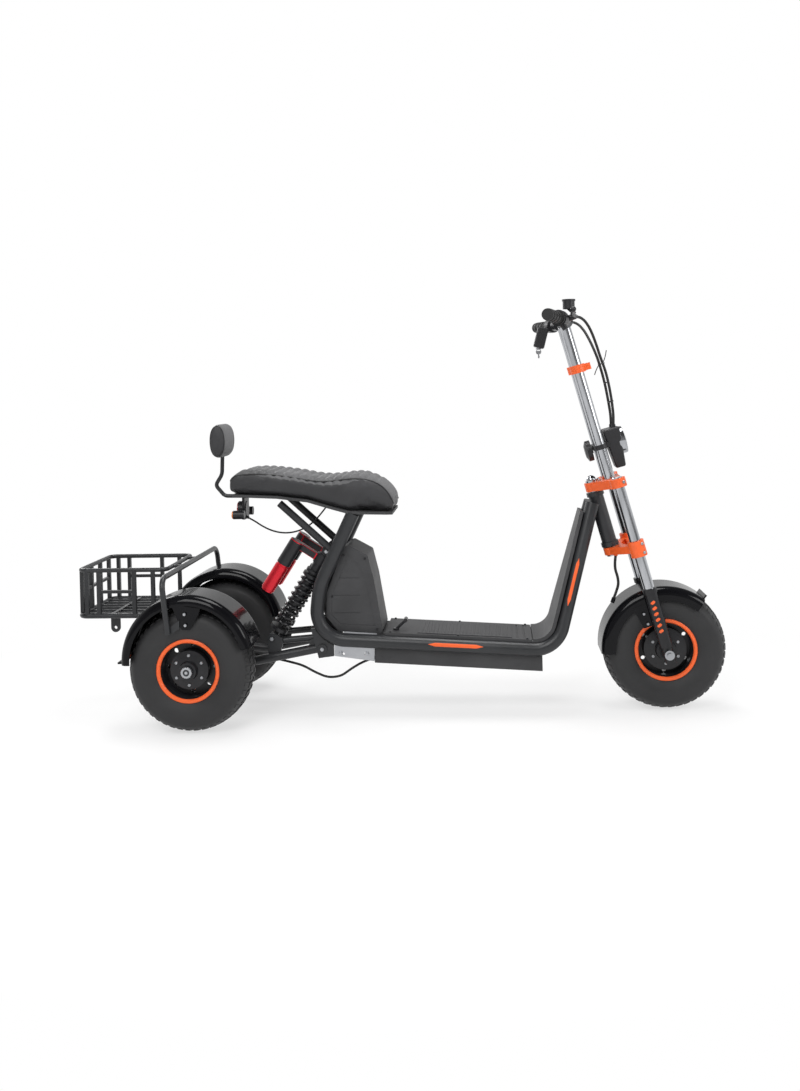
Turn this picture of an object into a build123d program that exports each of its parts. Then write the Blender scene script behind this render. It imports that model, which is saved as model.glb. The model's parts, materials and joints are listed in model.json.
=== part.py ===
import os
from math import cos, hypot, radians, sin, tan

from build123d import *

# Three-wheel electric scooter: one steered wheel in front, two wheels on a sprung rear axle, a long
# seat, a footboard and an open tube basket behind.
# All sizes are millimetres. While the pieces are made, X runs forward from the rear axle, Y to the
# rider's left and Z up from the ground. Each piece is moved to the middle of the length at the end.

# Fits
seat_gap = 0.3
running_gap = 0.05

# Wheels
wheelbase = 1367
track_half = 226
tyre_r = 180
tyre_half_w = 70
tyre_wall = 9
bead_r = 86
bead_half_w = 50
lip_out = 7
lip_rise = 5
rim_wall = 3
hub_half_w = 62
front_hub_r = 62
rear_drum_r = 55
front_axle_r = 7
rear_axle_r = 10
axle_nut_r = 14
nut_t = 12

# Steering head and fork, along the raked steering axis
rake = 15
fork_offset = 65
leg_half_gap = 97
stanchion_r = 16
stanchion_low = 152
lower_leg_r = 18.5
lower_leg_low = -26
lower_leg_high = 192
leg_top = 530
stem_r = 15
stem_collar_r = 19
head_tube_r = 22
head_tube_low = 330
head_tube_high = 497
cup_r = 26
cup_h = 12
clamp_low_s = 316
clamp_low_t = 22
clamp_high_s = 514
clamp_high_t = 26
clamp_block_h = 46
clamp_boss_r = 24
slot_w = 3

# Handlebar, along the same axis
riser_x = 50.4
riser_half_gap = 50
riser_r = 15.5
brace_s = 863
brace_h = 24
bar_r = 11
bar_ahead = 5.8
bar_s = 1006.6
bar_sweep = 63
bar_rise = 22
bar_half_w = 330
bar_bend_y = 95
bar_bend_r = 70
grip_r = 16.5
grip_len = 125
perch_off = 57
perch_len = 34
perch_r = 18

# Frame tubes
side_tube_r = 20
side_y = 100
side_bend_r = 85
side_top = (458, 600)
side_back = (352, 383)
side_heel = (334, 230)
toe_back = 320
head_join_y = 31
head_join_s = 469.5
deck_slope = 3.15
brace_r = 13
strut_r = 11
strut_y = 84

# Footboard, shield and cases
deck_t = 8
deck_half_w = 103
deck_rear_x = 545
deck_front_x = 977
mat_t = 2
mat_half_w = 90
mat_rear_x = 640
mat_front_x = 918
shield_t = 10
shield_half_w = 104
box_rear_x = 512
box_front_x = 1005
tray_h = 44
case_gap = 1
case_panel_t = 2

# Seat
seat_half_w = 128
nose_half_w = 104
pan_t = 8
back_rod_r = 6
pad_half_w = 73
pad_h = 106
pad_rod_in = 12
pad_t = 52

# Rear suspension
pivot = (358, 200)
arm_y = 79
arm_r = 14
arm_upper_y = 64
arm_upper_r = 10
arm_cross_r = 12
lug_t = 8
axle_tube_r = 26
motor_r = 72
motor_half_w = 55
shock_y = 58
shock_low = (203, 226)
shock_high = (372, 484)
shock_eye_r = 15
shock_pin_r = 4.7
shock_eye_w = 28
damper_r = 17
spring_r = 23
spring_wire_r = 4.2
spring_turns = 9
spring_low = 38
spring_high = 215
spring_seat_r = 28
reservoir_off = 91
reservoir_side = 12
reservoir_r = 20.5

# Fenders, hoop and basket
fender_gap = 5
fender_t = 2.5
fender_r = 191
fender_rise = 27
fender_corner_r = 24
skirt_r = 162
front_skirt_r = 147
hoop_x = -61
hoop_z = 447
hoop_r = 8
hoop_foot = (-46, 292)
basket_rear_x = -364
basket_front_x = -98
basket_rim_z = 446
basket_floor_z = 310
basket_tube_r = 6.5
basket_post_w = 12
basket_corner_r = 24
basket_clear = 8.5
eye_x = -268
eye_z = 268
eye_y = 103
eye_t = 6
eye_r = 5
eye_plate_r = 14

upright = (Align.CENTER, Align.CENTER, Align.MIN)


def deck_line(x):
    """Height of the middle of the side tubes under the footboard."""
    return side_heel[1] - (x - side_heel[0]) * tan(radians(deck_slope))


def slab(points, half_w, y_mid=0):
    """Plate with the given X-Z outline, half_w to each side of y_mid."""
    outline = make_face(Polyline(*[(x, 0, z) for x, z in points], close=True))
    return Pos(0, y_mid, 0) * extrude(outline, amount=half_w, dir=(0, 1, 0), both=True)


def rod(a, b, r):
    """Round bar from a to b."""
    a, b = Vector(*a), Vector(*b)
    return extrude(Plane(a, z_dir=b - a) * Circle(r), amount=(b - a).length)


def square_bar(a, b, w, side=(1, 0, 0)):
    """Square bar from a to b, one face square to the side direction."""
    a, b = Vector(*a), Vector(*b)
    return extrude(Plane(a, x_dir=side, z_dir=b - a) * Rectangle(w, w), amount=(b - a).length)


def bent_tube(points, radii, r):
    """Round bar along straight runs joined by arcs; one radius for each inner point."""
    path = FilletPolyline(*points, radius=radii)
    return sweep(Plane(path @ 0, z_dir=path % 0) * Circle(r), path=path)


def hose(points, r):
    """Cable along a route of points, each arc as large as its two runs allow."""
    route = [Vector(*p) for p in points]
    radii = []
    for a, b, c in zip(route, route[1:], route[2:]):
        half_turn = radians((b - a).get_angle(c - b)) / 2
        radii.append(0.45 * min((b - a).length, (c - b).length) / tan(half_turn))
    print("hose radii", [round(v) for v in radii], "over", r)
    return bent_tube([tuple(p) for p in route], radii, r)


def outlet(end, inner, length, r):
    """Socket that a cable comes out of: it meets the cable's end face and runs on away from it."""
    end, inner = Vector(*end), Vector(*inner)
    return rod(end + (end - inner).normalized() * length, end, r)


def lens(r, bulge):
    """Domed disc that stands on the X-Y plane."""
    outline = [(0, 0), (r, 0), (r, 2.5), (r * 0.72, bulge * 0.72), (r * 0.38, bulge * 0.93), (0, bulge)]
    return revolve(make_face(Polyline(*[(x, 0, z) for x, z in outline], close=True)), Axis.Z, 360)


def cross_rod(x, z, half_len, r, y_mid=0):
    """Round bar across the scooter."""
    return rod((x, y_mid - half_len, z), (x, y_mid + half_len, z), r)


def mirrored(shape):
    """The same piece on the other side of the middle plane."""
    return mirror(shape, about=Plane.XZ)


def pair(shape):
    """A piece and its mirror image, as two solids."""
    return Compound(children=[shape, mirrored(shape)])


def offset_path(points, distance):
    """The open line of X-Z points moved sideways to its left, corners mitred."""
    runs = []
    for (x0, z0), (x1, z1) in zip(points, points[1:]):
        length = hypot(x1 - x0, z1 - z0)
        dx, dz = (x1 - x0) / length, (z1 - z0) / length
        runs.append((x0 - dz * distance, z0 + dx * distance, dx, dz, length))
    moved = [runs[0][:2]]
    for (ax, az, adx, adz, _), (bx, bz, bdx, bdz, _) in zip(runs, runs[1:]):
        cross = adx * bdz - adz * bdx
        t = ((bx - ax) * bdz - (bz - az) * bdx) / cross
        moved.append((ax + adx * t, az + adz * t))
    x, z, dx, dz, length = runs[-1]
    moved.append((x + dx * length, z + dz * length))
    return moved


fork_plane = Plane(
    origin=(wheelbase - fork_offset * cos(radians(rake)), 0, tyre_r - fork_offset * sin(radians(rake))),
    x_dir=(cos(radians(rake)), 0, sin(radians(rake))),
    z_dir=(-sin(radians(rake)), 0, cos(radians(rake))),
)


def fork_at(x, y, s):
    """Place of a point x ahead of the steering axis, y to its left and s along it."""
    place = fork_plane.from_local_coords((x, y, s))
    return (place.X, place.Y, place.Z)


def fork_rod(x, y, s0, s1, r):
    """Round bar parallel to the steering axis."""
    return fork_plane * Pos(x, y, s0) * Cylinder(r, s1 - s0, align=upright)


parts = {}

# Side tubes: each runs from the seat down, forward under the footboard and up to the steering head.
toe_x = wheelbase - toe_back
toe = (toe_x, deck_line(toe_x))
join = fork_at(-18.3, 0, head_join_s)
side_points = [(x, -side_y, z) for x, z in (side_top, side_back, side_heel, toe)] + [(join[0], -head_join_y, join[2])]
side_radii = [200, side_bend_r, side_bend_r]
side_right = bent_tube(side_points, side_radii, side_tube_r)
side_right -= fork_rod(0, 0, head_tube_low - 20, head_tube_high + 20, head_tube_r + seat_gap)
parts["side_tube_right"] = side_right
parts["side_tube_left"] = mirrored(side_right)
side_room_right = bent_tube(side_points, side_radii, side_tube_r + seat_gap)
side_room = [side_room_right, mirrored(side_room_right)]

# Steering head: a tube with a bearing cup at each end, bored for the stem.
head = fork_rod(0, 0, head_tube_low, head_tube_high, head_tube_r)
for s in (head_tube_low, head_tube_high - cup_h):
    head += fork_rod(0, 0, s, s + cup_h, cup_r)
head -= fork_rod(0, 0, head_tube_low - 5, head_tube_high + 5, stem_r + running_gap)
parts["head_tube"] = head

# Cross tubes between the side tubes, and the two struts under the seat.
shock_cross = (shock_high[0] + shock_eye_r + brace_r + 2 * seat_gap, shock_high[1])
toe_rise = 209
front_cross_t = toe_rise / (join[2] - toe[1])
front_cross = (toe[0] + (join[0] - toe[0]) * front_cross_t, toe[1] + toe_rise)
front_cross_y = side_y + (head_join_y - side_y) * front_cross_t
deck_cross = (deck_front_x - 17, deck_line(deck_front_x - 17))
braces = []
for (x, z), half_len in ((shock_cross, side_y), (deck_cross, side_y), (front_cross, front_cross_y)):
    bar = cross_rod(x, z, half_len, brace_r)
    for side in side_room:
        bar -= side
    braces.append(bar)
strut_foot = (shock_cross[0] - 6, -strut_y, shock_cross[1] + 2)
strut_head = (236, -strut_y, 632)
strut = rod(strut_foot, strut_head, strut_r) - cross_rod(*shock_cross, side_y, brace_r)
strut -= side_room_right
braces += [strut, mirrored(strut)]
parts["frame_braces"] = Compound(children=braces)

# Space taken by the side tubes from the heel to the footboard's front, seen from the side. What hangs
# under them is cut along its lower edge.
under_path = offset_path([side_back, side_heel, toe], -side_tube_r - seat_gap)
under_curve = FilletPolyline(*[(x, 0, z) for x, z in under_path], radius=side_bend_r + side_tube_r + seat_gap)
over_curve = Polyline(under_curve @ 0, (side_back[0] + 200, 0, side_back[1]), (toe[0], 0, toe[1] + 100),
                      under_curve @ 1)
above_tubes = extrude(make_face(Wire(under_curve.edges() + over_curve.edges())), amount=2 * side_y,
                      dir=(0, 1, 0), both=True)

# Footboard on the side tubes, with a raised mat, and the leg shield that rises from it to the head.
board_rise = side_tube_r / cos(radians(deck_slope)) + seat_gap


def on_line(x, rise):
    """Point above the middle line of the side tubes."""
    return (x, deck_line(x) + rise)


def layer(x0, x1, low, high, half_w):
    """Flat layer parallel to the footboard, between two heights above the tubes' middle line."""
    return slab([on_line(x0, low), on_line(x1, low), on_line(x1, high), on_line(x0, high)], half_w)


deck = layer(deck_rear_x, deck_front_x, board_rise, board_rise + deck_t, deck_half_w)
deck += layer(mat_rear_x, mat_front_x, board_rise + deck_t - 1, board_rise + deck_t + mat_t, mat_half_w)
for groove_x in (mat_front_x + 14, mat_front_x + 34):
    deck -= layer(groove_x, groove_x + 5, board_rise + deck_t - 2, board_rise + deck_t + 1, mat_half_w)
parts["deck_board"] = deck

shield_top_t = 0.93
shield_top = (toe[0] + (join[0] - toe[0]) * shield_top_t, toe[1] + (join[2] - toe[1]) * shield_top_t)
shield_path = [(deck_front_x + seat_gap, deck_line(deck_front_x)), toe, shield_top]
faces = []
for off in (side_tube_r + seat_gap, side_tube_r + seat_gap + shield_t):
    a, b, c = offset_path(shield_path, off)
    faces.append(FilletPolyline((a[0], 0, a[1]), (b[0], 0, b[1]), (c[0], 0, c[1]), radius=side_bend_r - off))
ends = [Line(faces[0] @ i, faces[1] @ i) for i in (0, 1)]
shield_side = make_face(Wire(faces[0].edges() + faces[1].edges() + ends))
shield = extrude(shield_side, amount=shield_half_w, dir=(0, 1, 0), both=True)
narrow_z = 300
top_half_w = head_join_y + side_tube_r
shield_front = Polyline((0, -shield_half_w, 0), (0, shield_half_w, 0), (0, shield_half_w, narrow_z),
                        (0, top_half_w, shield_top[1] + 20), (0, -top_half_w, shield_top[1] + 20),
                        (0, -shield_half_w, narrow_z), close=True)
shield &= extrude(make_face(shield_front), amount=2 * wheelbase, dir=(1, 0, 0))
for side in side_room:
    shield -= side
parts["leg_shield"] = shield

# Long case under the footboard: the upper part fits between the side tubes, the tray hangs below.
between = side_y - side_tube_r - case_gap
under_box = layer(box_rear_x + 6, box_front_x - 60, -side_tube_r - 2, board_rise - seat_gap, between)
under_box += layer(box_rear_x, box_front_x, -side_tube_r - tray_h, -side_tube_r - 1, side_y - 4)
under_box -= layer(box_rear_x + 30, box_front_x - 30, -side_tube_r - tray_h - 1, -side_tube_r - tray_h + 3, side_y - 22)
under_box -= cross_rod(*deck_cross, side_y, brace_r + seat_gap)
parts["under_deck_box"] = under_box

# Battery case between the side tubes under the seat: rounded corners, a recessed panel on each side
# and grooves across the panel.
case_outline = [on_line(404, board_rise), on_line(538, board_rise), (513, 400), (496, 472), (440, 503),
                (425, 498), (372, 362), (368, 290)]
case = slab(case_outline, between)
case = fillet(case.edges().filter_by(Axis.Y), 9)
panel = [on_line(410, 22 + board_rise), on_line(515, 22 + board_rise), (490, 396), (470, 444), (440, 474),
         (386, 356), (384, 296)]
for y in (-between, between):
    case -= slab(panel, case_panel_t, y)
for z in (300, 352, 404):
    for y in (-between + case_panel_t, between - case_panel_t):
        case -= slab([(392, z), (470, z), (470, z + 3), (392, z + 3)], 1.2, y)
case -= cross_rod(*shock_cross, side_y, brace_r + seat_gap)
parts["battery_case"] = case

# Thin wire that hangs from the tail lamp to the seat pan, with a socket at each end.
wire_r = 2.5
wire_points = [(126, -12, 581), (143, -12, 572), (164, -11, 557), (192, -10, 542), (226, -9, 533), (262, -8, 534),
               (298, -7, 546), (328, -6, 568), (350, -5, 592), (365, -5, 611)]
wire_sockets = [outlet(wire_points[0], wire_points[1], 12, 4), outlet(wire_points[-1], wire_points[-2], 14, 4)]

# Seat: pan, cushion and a small backrest on a bent rod.
seat_low = [(100, 655), (235, 648), (325, 636), (400, 613), (446, 600), (575, 594)]
seat_plan = Polyline((60, -seat_half_w + 22, 0), (84, -seat_half_w, 0), (420, -seat_half_w, 0),
                     (560, -nose_half_w, 0), (600, -nose_half_w + 22, 0), (600, nose_half_w - 22, 0),
                     (560, nose_half_w, 0), (420, seat_half_w, 0), (84, seat_half_w, 0),
                     (60, seat_half_w - 22, 0), close=True)
seat_block = extrude(make_face(seat_plan), amount=900, dir=(0, 0, 1))
pan_high = offset_path(seat_low, pan_t)
pan = slab(seat_low + list(reversed(pan_high)), seat_half_w - 12)
pan += wire_sockets[1] - slab([(300, 800), (450, 800)] + pan_high[3:1:-1], 40)
pan &= seat_block
for side in side_room:
    pan -= side
parts["seat_pan"] = pan
cushion_low = offset_path(seat_low, pan_t + seat_gap)
cushion_low[0] = (88, cushion_low[0][1] + 1)
cushion_low[-1] = (582, cushion_low[-1][1])
seat_top = [(590, 622), (578, 652), (552, 686), (508, 708), (450, 711), (372, 705), (290, 718), (190, 731),
            (112, 729), (84, 704)]
cushion = slab(cushion_low + seat_top, seat_half_w)
cushion &= seat_block
parts["seat_cushion"] = cushion

pad_mid = (46, 819.3)
rod_top = pad_mid[1] - pad_h / 2 + pad_rod_in
rod_under = seat_low[0][1] - back_rod_r - seat_gap
back_rod_points = [(pad_mid[0], 0, rod_top), (43, 0, 715), (22, 0, 682), (50, 0, rod_under), (138, 0, rod_under - 1.6)]
backrest_rod = bent_tube(back_rod_points, [40, 14, 22], back_rod_r)
parts["backrest_rod"] = backrest_rod
pad_end = Plane(origin=(pad_mid[0], pad_half_w, pad_mid[1]), x_dir=(1, 0, 0), z_dir=(0, -1, 0))
pad = extrude(pad_end * Ellipse(pad_t / 2, pad_h / 2), amount=2 * pad_half_w)
pad = fillet(pad.edges().filter_by(GeomType.ELLIPSE), pad_t * 0.12)
pad -= rod((pad_mid[0], 0, 700), (pad_mid[0], 0, rod_top + seat_gap), back_rod_r + seat_gap)
pad -= bent_tube(back_rod_points[:3], [40], back_rod_r + seat_gap)
parts["backrest_pad"] = pad

# Tail lamp under the rear of the seat: a bracket, a round lamp and two small turn lamps on stalks.
lamp_x, lamp_z = 112, 608
tail = slab([(lamp_x - 2, 578), (lamp_x + 6, 578), (lamp_x + 6, 653.9), (lamp_x - 2, 654.2)], 30)
tail += slab([(100, 650), (150, 648), (150, 652.1), (100, 654.7)], 30)
tail += rod((lamp_x + 8, 0, lamp_z), (lamp_x - 18, 0, lamp_z), 24)
tail += cross_rod(lamp_x + 2, 596, 66, 4.5)
for y in (-60, 60):
    tail += rod((lamp_x + 12, y, 596), (lamp_x - 22, y, 596), 13)
tail -= bent_tube(back_rod_points[2:], [22], back_rod_r + seat_gap)
tail += wire_sockets[0]
parts["tail_lamp"] = tail
parts["tail_lens"] = Pos(lamp_x - 18 - seat_gap, 0, lamp_z) * Rot(0, -90, 0) * lens(21, 6)
turn_lenses = [Pos(lamp_x - 22 - seat_gap, y, 596) * Rot(0, -90, 0) * lens(11.5, 6) for y in (-60, 60)]
parts["turn_lenses"] = Compound(children=turn_lenses)

# Rear suspension: a trailing arm on a pivot behind the footboard, with lugs and pins for the shocks.
bracket_y = side_y - 1
arm_tube = bent_tube([(pivot[0], -arm_y, pivot[1]), (150, -arm_y, 160), (0, -arm_y, tyre_r)], [60], arm_r)
upper_front = (pivot[0] - 20, pivot[1] + 26)
arm_cross = (shock_low[0] + 2, shock_low[1] - shock_eye_r - arm_cross_r - 1.5)
arm_upper = rod((upper_front[0], -arm_upper_y, upper_front[1]),
                (shock_low[0] + shock_eye_r + 1, -arm_upper_y, shock_low[1] - 10), arm_upper_r)
lug_y = shock_y + shock_eye_w / 2 + lug_t / 2 + seat_gap
lug_x, lug_z = shock_low
lug = slab([(lug_x - 13, 160), (lug_x + 18, 166), (lug_x + 32, 212), (lug_x + 30, 226), (lug_x + 8, 241),
            (lug_x - 8, 241), (lug_x - 14, 228)], lug_t / 2, -lug_y)
lug += rod((lug_x, -lug_y - lug_t, lug_z), (lug_x, shock_eye_w / 2 + 5 - shock_y, lug_z), shock_pin_r)
gusset = slab([(300, 176), (344, 190), (344, 228), (322, 224)], 3, -arm_y)
gusset += slab([(330, 236), (348, 236), (368, 206), (352, 190)], 5, -arm_upper_y + 16)
half_arm = arm_tube + arm_upper + lug + gusset
swingarm = half_arm + mirrored(half_arm)
swingarm += cross_rod(*pivot, bracket_y - 5 - seat_gap, arm_r + 3)
swingarm += cross_rod(*upper_front, arm_upper_y + 4, arm_cross_r)
swingarm += cross_rod(*arm_cross, lug_y, arm_cross_r)
rear_beam_half = track_half - 86
rear_beam_room = cross_rod(0, tyre_r, rear_beam_half, axle_tube_r + running_gap)
rear_beam_room += cross_rod(0, tyre_r, motor_half_w, motor_r + running_gap)
swingarm -= rear_beam_room
parts["swingarm"] = swingarm

# Route of the cable that loops under the frame, from the motor on the axle to the case under the board.
loop_r = 3.5
loop_points = [(84, -30, 178), (128, -34, 172), (180, -42, 162), (236, -50, 152), (290, -58, 140), (330, -66, 120),
               (368, -71, 106), (408, -73, 111), (440, -72, 134), (472, -71, 152), (503, -71, 163)]

# Rear axle: housing with the motor in the middle, ribs round it, and the bare axle ends in the hubs.
rear_axle = cross_rod(0, tyre_r, rear_beam_half, axle_tube_r) + cross_rod(0, tyre_r, motor_half_w, motor_r)
for y in (-motor_half_w + 8, 0, motor_half_w - 8):
    rear_axle += cross_rod(0, tyre_r, 3, motor_r + 4, y)
for sy in (-1, 1):
    rear_axle += rod((0, sy * (rear_beam_half - 1), tyre_r), (0, sy * (track_half + hub_half_w + 4), tyre_r), rear_axle_r)
    nut_y = sy * (track_half + hub_half_w + seat_gap)
    rear_axle += rod((0, nut_y, tyre_r), (0, nut_y + sy * nut_t, tyre_r), axle_nut_r + 2)
rear_axle += outlet(loop_points[0], loop_points[1], 12, loop_r + 2)
parts["rear_axle"] = rear_axle
parts["under_deck_box"] += outlet(loop_points[-1], loop_points[-2], 20, loop_r + 2)

# Plates under the side tubes: a bracket for the arm's pivot with its bolt head, and a drilled link plate
# from there to the case under the footboard.
bracket = slab([(pivot[0] - 34, 260), (pivot[0] + 34, 260), (pivot[0] + 34, 178), (pivot[0] - 12, 172)], 5, -bracket_y)
bracket -= above_tubes
bracket += cross_rod(*pivot, 3, arm_r, -bracket_y - 7)
parts["pivot_brackets"] = pair(bracket)

link = slab([(pivot[0] + 36, 260), (box_rear_x - seat_gap, 260), (box_rear_x - seat_gap, 162), (pivot[0] + 36, 178)],
            3, -bracket_y)
link -= above_tubes
for x in (pivot[0] + 62, box_rear_x - 26):
    link -= cross_rod(x, 184, 10, 4, -bracket_y)
parts["link_plates"] = pair(link)

# Shocks: damper body with adjuster rings and eyes, coil spring, and a reservoir beside the body.
shock_run = (shock_high[0] - shock_low[0], shock_high[1] - shock_low[1])
shock_len = hypot(*shock_run)
shock_plane = Plane(
    origin=(shock_low[0], -shock_y, shock_low[1]),
    x_dir=(shock_run[1], 0, -shock_run[0]),
    z_dir=(shock_run[0], 0, shock_run[1]),
)


def on_shock(s0, s1, r, x=0, y=0):
    """Round piece along the shock, from s0 to s1 above its lower eye."""
    return shock_plane * Pos(x, y, s0) * Cylinder(r, s1 - s0, align=upright)


shock = on_shock(12, 150, 9) + on_shock(118, shock_len - 12, damper_r)
shock += on_shock(spring_low - 10, spring_low, spring_seat_r) + on_shock(spring_high, spring_high + 9, spring_seat_r)
shock += on_shock(spring_high + 15, spring_high + 23, spring_seat_r - 3)
shock += on_shock(shock_len - 46, shock_len - 16, damper_r + 5)
for x, z in (shock_low, shock_high):
    shock += cross_rod(x, z, shock_eye_w / 2, shock_eye_r, -shock_y)
bridge = shock_plane * Pos(-reservoir_off / 2, 0, shock_len - 31) * Box(reservoir_off, 22, 20)
shock -= cross_rod(*shock_low, shock_eye_w, shock_pin_r + seat_gap, -shock_y)
parts["shock_bodies"] = pair(shock)

coil_h = spring_high - spring_low - 2 * spring_wire_r - 2 * seat_gap
coil_path = Helix(pitch=coil_h / spring_turns, height=coil_h, radius=spring_r)
coil = sweep(Plane(coil_path @ 0, z_dir=coil_path % 0) * Circle(spring_wire_r), path=coil_path, is_frenet=True)
coil = shock_plane * Pos(0, 0, spring_low + spring_wire_r + seat_gap) * coil
parts["shock_springs"] = pair(coil)

can_x, can_y = -reservoir_off, -reservoir_side
reservoir = on_shock(118, 200, reservoir_r, can_x, can_y)
reservoir += on_shock(112, 118, reservoir_r - 3, can_x, can_y)
reservoir += on_shock(200, 206, reservoir_r - 2.5, can_x, can_y)
reservoir += on_shock(206, shock_len - 20, reservoir_r, can_x, can_y)
reservoir += bridge - on_shock(0, shock_len, damper_r + 5 + seat_gap)
parts["shock_reservoirs"] = pair(reservoir)

# Fenders: a rolled crown with a skirt on each side. The rear pair hangs from a hoop.
fender_half_w = tyre_half_w + fender_gap + fender_t


def fender_section(outer_r, skirt_radius):
    """Channel section in the X-Y plane, X being the distance from the wheel's centre."""
    outer = FilletPolyline((skirt_radius, fender_half_w), (outer_r, fender_half_w), (outer_r, -fender_half_w),
                           (skirt_radius, -fender_half_w), radius=fender_corner_r)
    inner_w = fender_half_w - fender_t
    inner = FilletPolyline((skirt_radius, inner_w), (outer_r - fender_t, inner_w), (outer_r - fender_t, -inner_w),
                           (skirt_radius, -inner_w), radius=fender_corner_r - fender_t)
    rims = [Line(outer @ i, inner @ i) for i in (0, 1)]
    return make_face(Wire(outer.edges() + inner.edges() + rims))


def turned_from(section, start, end):
    """Section in the X-Y plane turned about the cross axis from the start to the end angle above the front."""
    ahead = (cos(radians(start)), 0, sin(radians(start)))
    plane = Plane(origin=(0, 0, 0), x_dir=ahead, z_dir=Vector(*ahead).cross(Vector(0, 1, 0)))
    return revolve(plane * section, Axis((0, 0, 0), (0, -1, 0)), end - start)


def fender(outer_r, skirt_radius, start, end):
    return turned_from(fender_section(outer_r, skirt_radius), start, end)


def flange(outer_r, rise, start, end):
    """Narrow strip that stands out from the crown at the end of a fender."""
    strip = make_face(Polyline((outer_r - 1, 50), (outer_r + rise, 50), (outer_r + rise, -50), (outer_r - 1, -50),
                               close=True))
    return turned_from(strip, start, end)


rear_fender_place = Pos(0, -track_half, tyre_r + fender_rise)
fender_right = rear_fender_place * (fender(fender_r, skirt_r, 13, 182) + flange(fender_r, 14, 180.6, 182))
fender_out_y = -(track_half + fender_half_w)
bolt_places = [(2, 347), (4, 316)]
tab = slab([(-38, 374), (46, 362), (40, 344), (16, 302), (-8, 302)], fender_t / 2, fender_out_y + fender_t / 2)
for x, z in bolt_places:
    tab += cross_rod(x, z, 2, 5, fender_out_y - 2)
fender_right += tab
parts["rear_fender_right"] = fender_right
parts["rear_fender_left"] = mirrored(fender_right)

hoop_half_w = track_half + fender_half_w + hoop_r + 1.5
hoop_points = [(hoop_foot[0], -hoop_half_w, hoop_foot[1]), (hoop_x, -hoop_half_w, hoop_z),
               (hoop_x, hoop_half_w, hoop_z), (hoop_foot[0], hoop_half_w, hoop_foot[1])]
hoop = bent_tube(hoop_points, [34, 34], hoop_r)
lug = slab([(-50, 304), (-14, 330), (-14, 306), (-48, 286)], 1.5, fender_out_y - 2)
lug -= fender_right
hoop += lug
hoop += mirrored(lug)
parts["fender_hoop"] = hoop

# Basket: tube rim, square posts, floor and the stays that tie it to the hoop and the axle.
basket_half_w = track_half - fender_half_w - basket_clear


def ring(x0, x1, half_w, z, r):
    """Closed rectangle of tube with rounded corners, lying flat."""
    corners = [(x0, -half_w, z), (x1, -half_w, z), (x1, half_w, z), (x0, half_w, z)]
    path = FilletPolyline(*corners, radius=basket_corner_r, close=True)
    return sweep(Plane(path @ 0, z_dir=path % 0) * Circle(r), path=path)


basket = ring(basket_rear_x, basket_front_x, basket_half_w, basket_rim_z, basket_tube_r)
basket += ring(basket_rear_x, basket_front_x, basket_half_w, basket_floor_z, basket_tube_r + 1)
post_xs = [basket_rear_x + basket_corner_r, -304, -196, -139]
post_ys = [-basket_half_w + basket_corner_r, -38, 38, basket_half_w - basket_corner_r]
mid_rail_z = 382
for x in post_xs:
    for y in (-basket_half_w, basket_half_w):
        basket += square_bar((x, y, basket_floor_z), (x, y, basket_rim_z), basket_post_w - 1)
for y in post_ys:
    basket += square_bar((basket_rear_x, y, basket_floor_z), (basket_rear_x, y, basket_rim_z), basket_post_w - 1)
for y in (-basket_half_w, basket_half_w):
    basket += square_bar((post_xs[1], y, mid_rail_z), (post_xs[2], y, mid_rail_z), 9, (0, 1, 0))
basket += square_bar((basket_rear_x, post_ys[0], mid_rail_z), (basket_rear_x, post_ys[-1], mid_rail_z), 9)
for y in (-105, -63, -21, 21, 63, 105):
    basket += square_bar((basket_rear_x, y, basket_floor_z), (basket_front_x, y, basket_floor_z), 7, (0, 1, 0))
basket += square_bar((eye_x, -basket_half_w, basket_floor_z), (eye_x, basket_half_w, basket_floor_z), 10)
for y in (-eye_y, eye_y):
    eye = slab([(eye_x - eye_plate_r, basket_floor_z), (eye_x + eye_plate_r, basket_floor_z),
                (eye_x + eye_plate_r, eye_z), (eye_x - eye_plate_r, eye_z)], eye_t / 2, y)
    eye += cross_rod(eye_x, eye_z, eye_t / 2, eye_plate_r, y)
    eye -= cross_rod(eye_x, eye_z, eye_t, eye_r, y)
    basket += eye
stay_y = 80
for y in (-stay_y, stay_y):
    basket += rod((basket_front_x, y, basket_floor_z), (-8, y, tyre_r + 12), 5.5)
    basket += square_bar((hoop_x - 4, y, hoop_z), (basket_front_x, y, basket_rim_z), 8, (0, 1, 0))
basket -= bent_tube(hoop_points, [34, 34], hoop_r + seat_gap)
basket -= cross_rod(0, tyre_r, rear_beam_half + 5, axle_tube_r + seat_gap)
parts["basket"] = basket

# Small brake pedal beside the footboard's rear.
pedal_y = -60
pedal_foot = on_line(575, board_rise + deck_t + seat_gap)
pedal = Pos(pedal_foot[0], pedal_y, pedal_foot[1]) * Cylinder(9, 6, align=upright)
pedal += rod((pedal_foot[0], pedal_y, pedal_foot[1] + 3), (606, pedal_y, 276), 4)
pedal += rod((604, pedal_y - 14, 276), (604, pedal_y + 14, 276), 6)
parts["brake_pedal"] = pedal - layer(560, 620, 0, board_rise + deck_t + seat_gap, 90)

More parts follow.
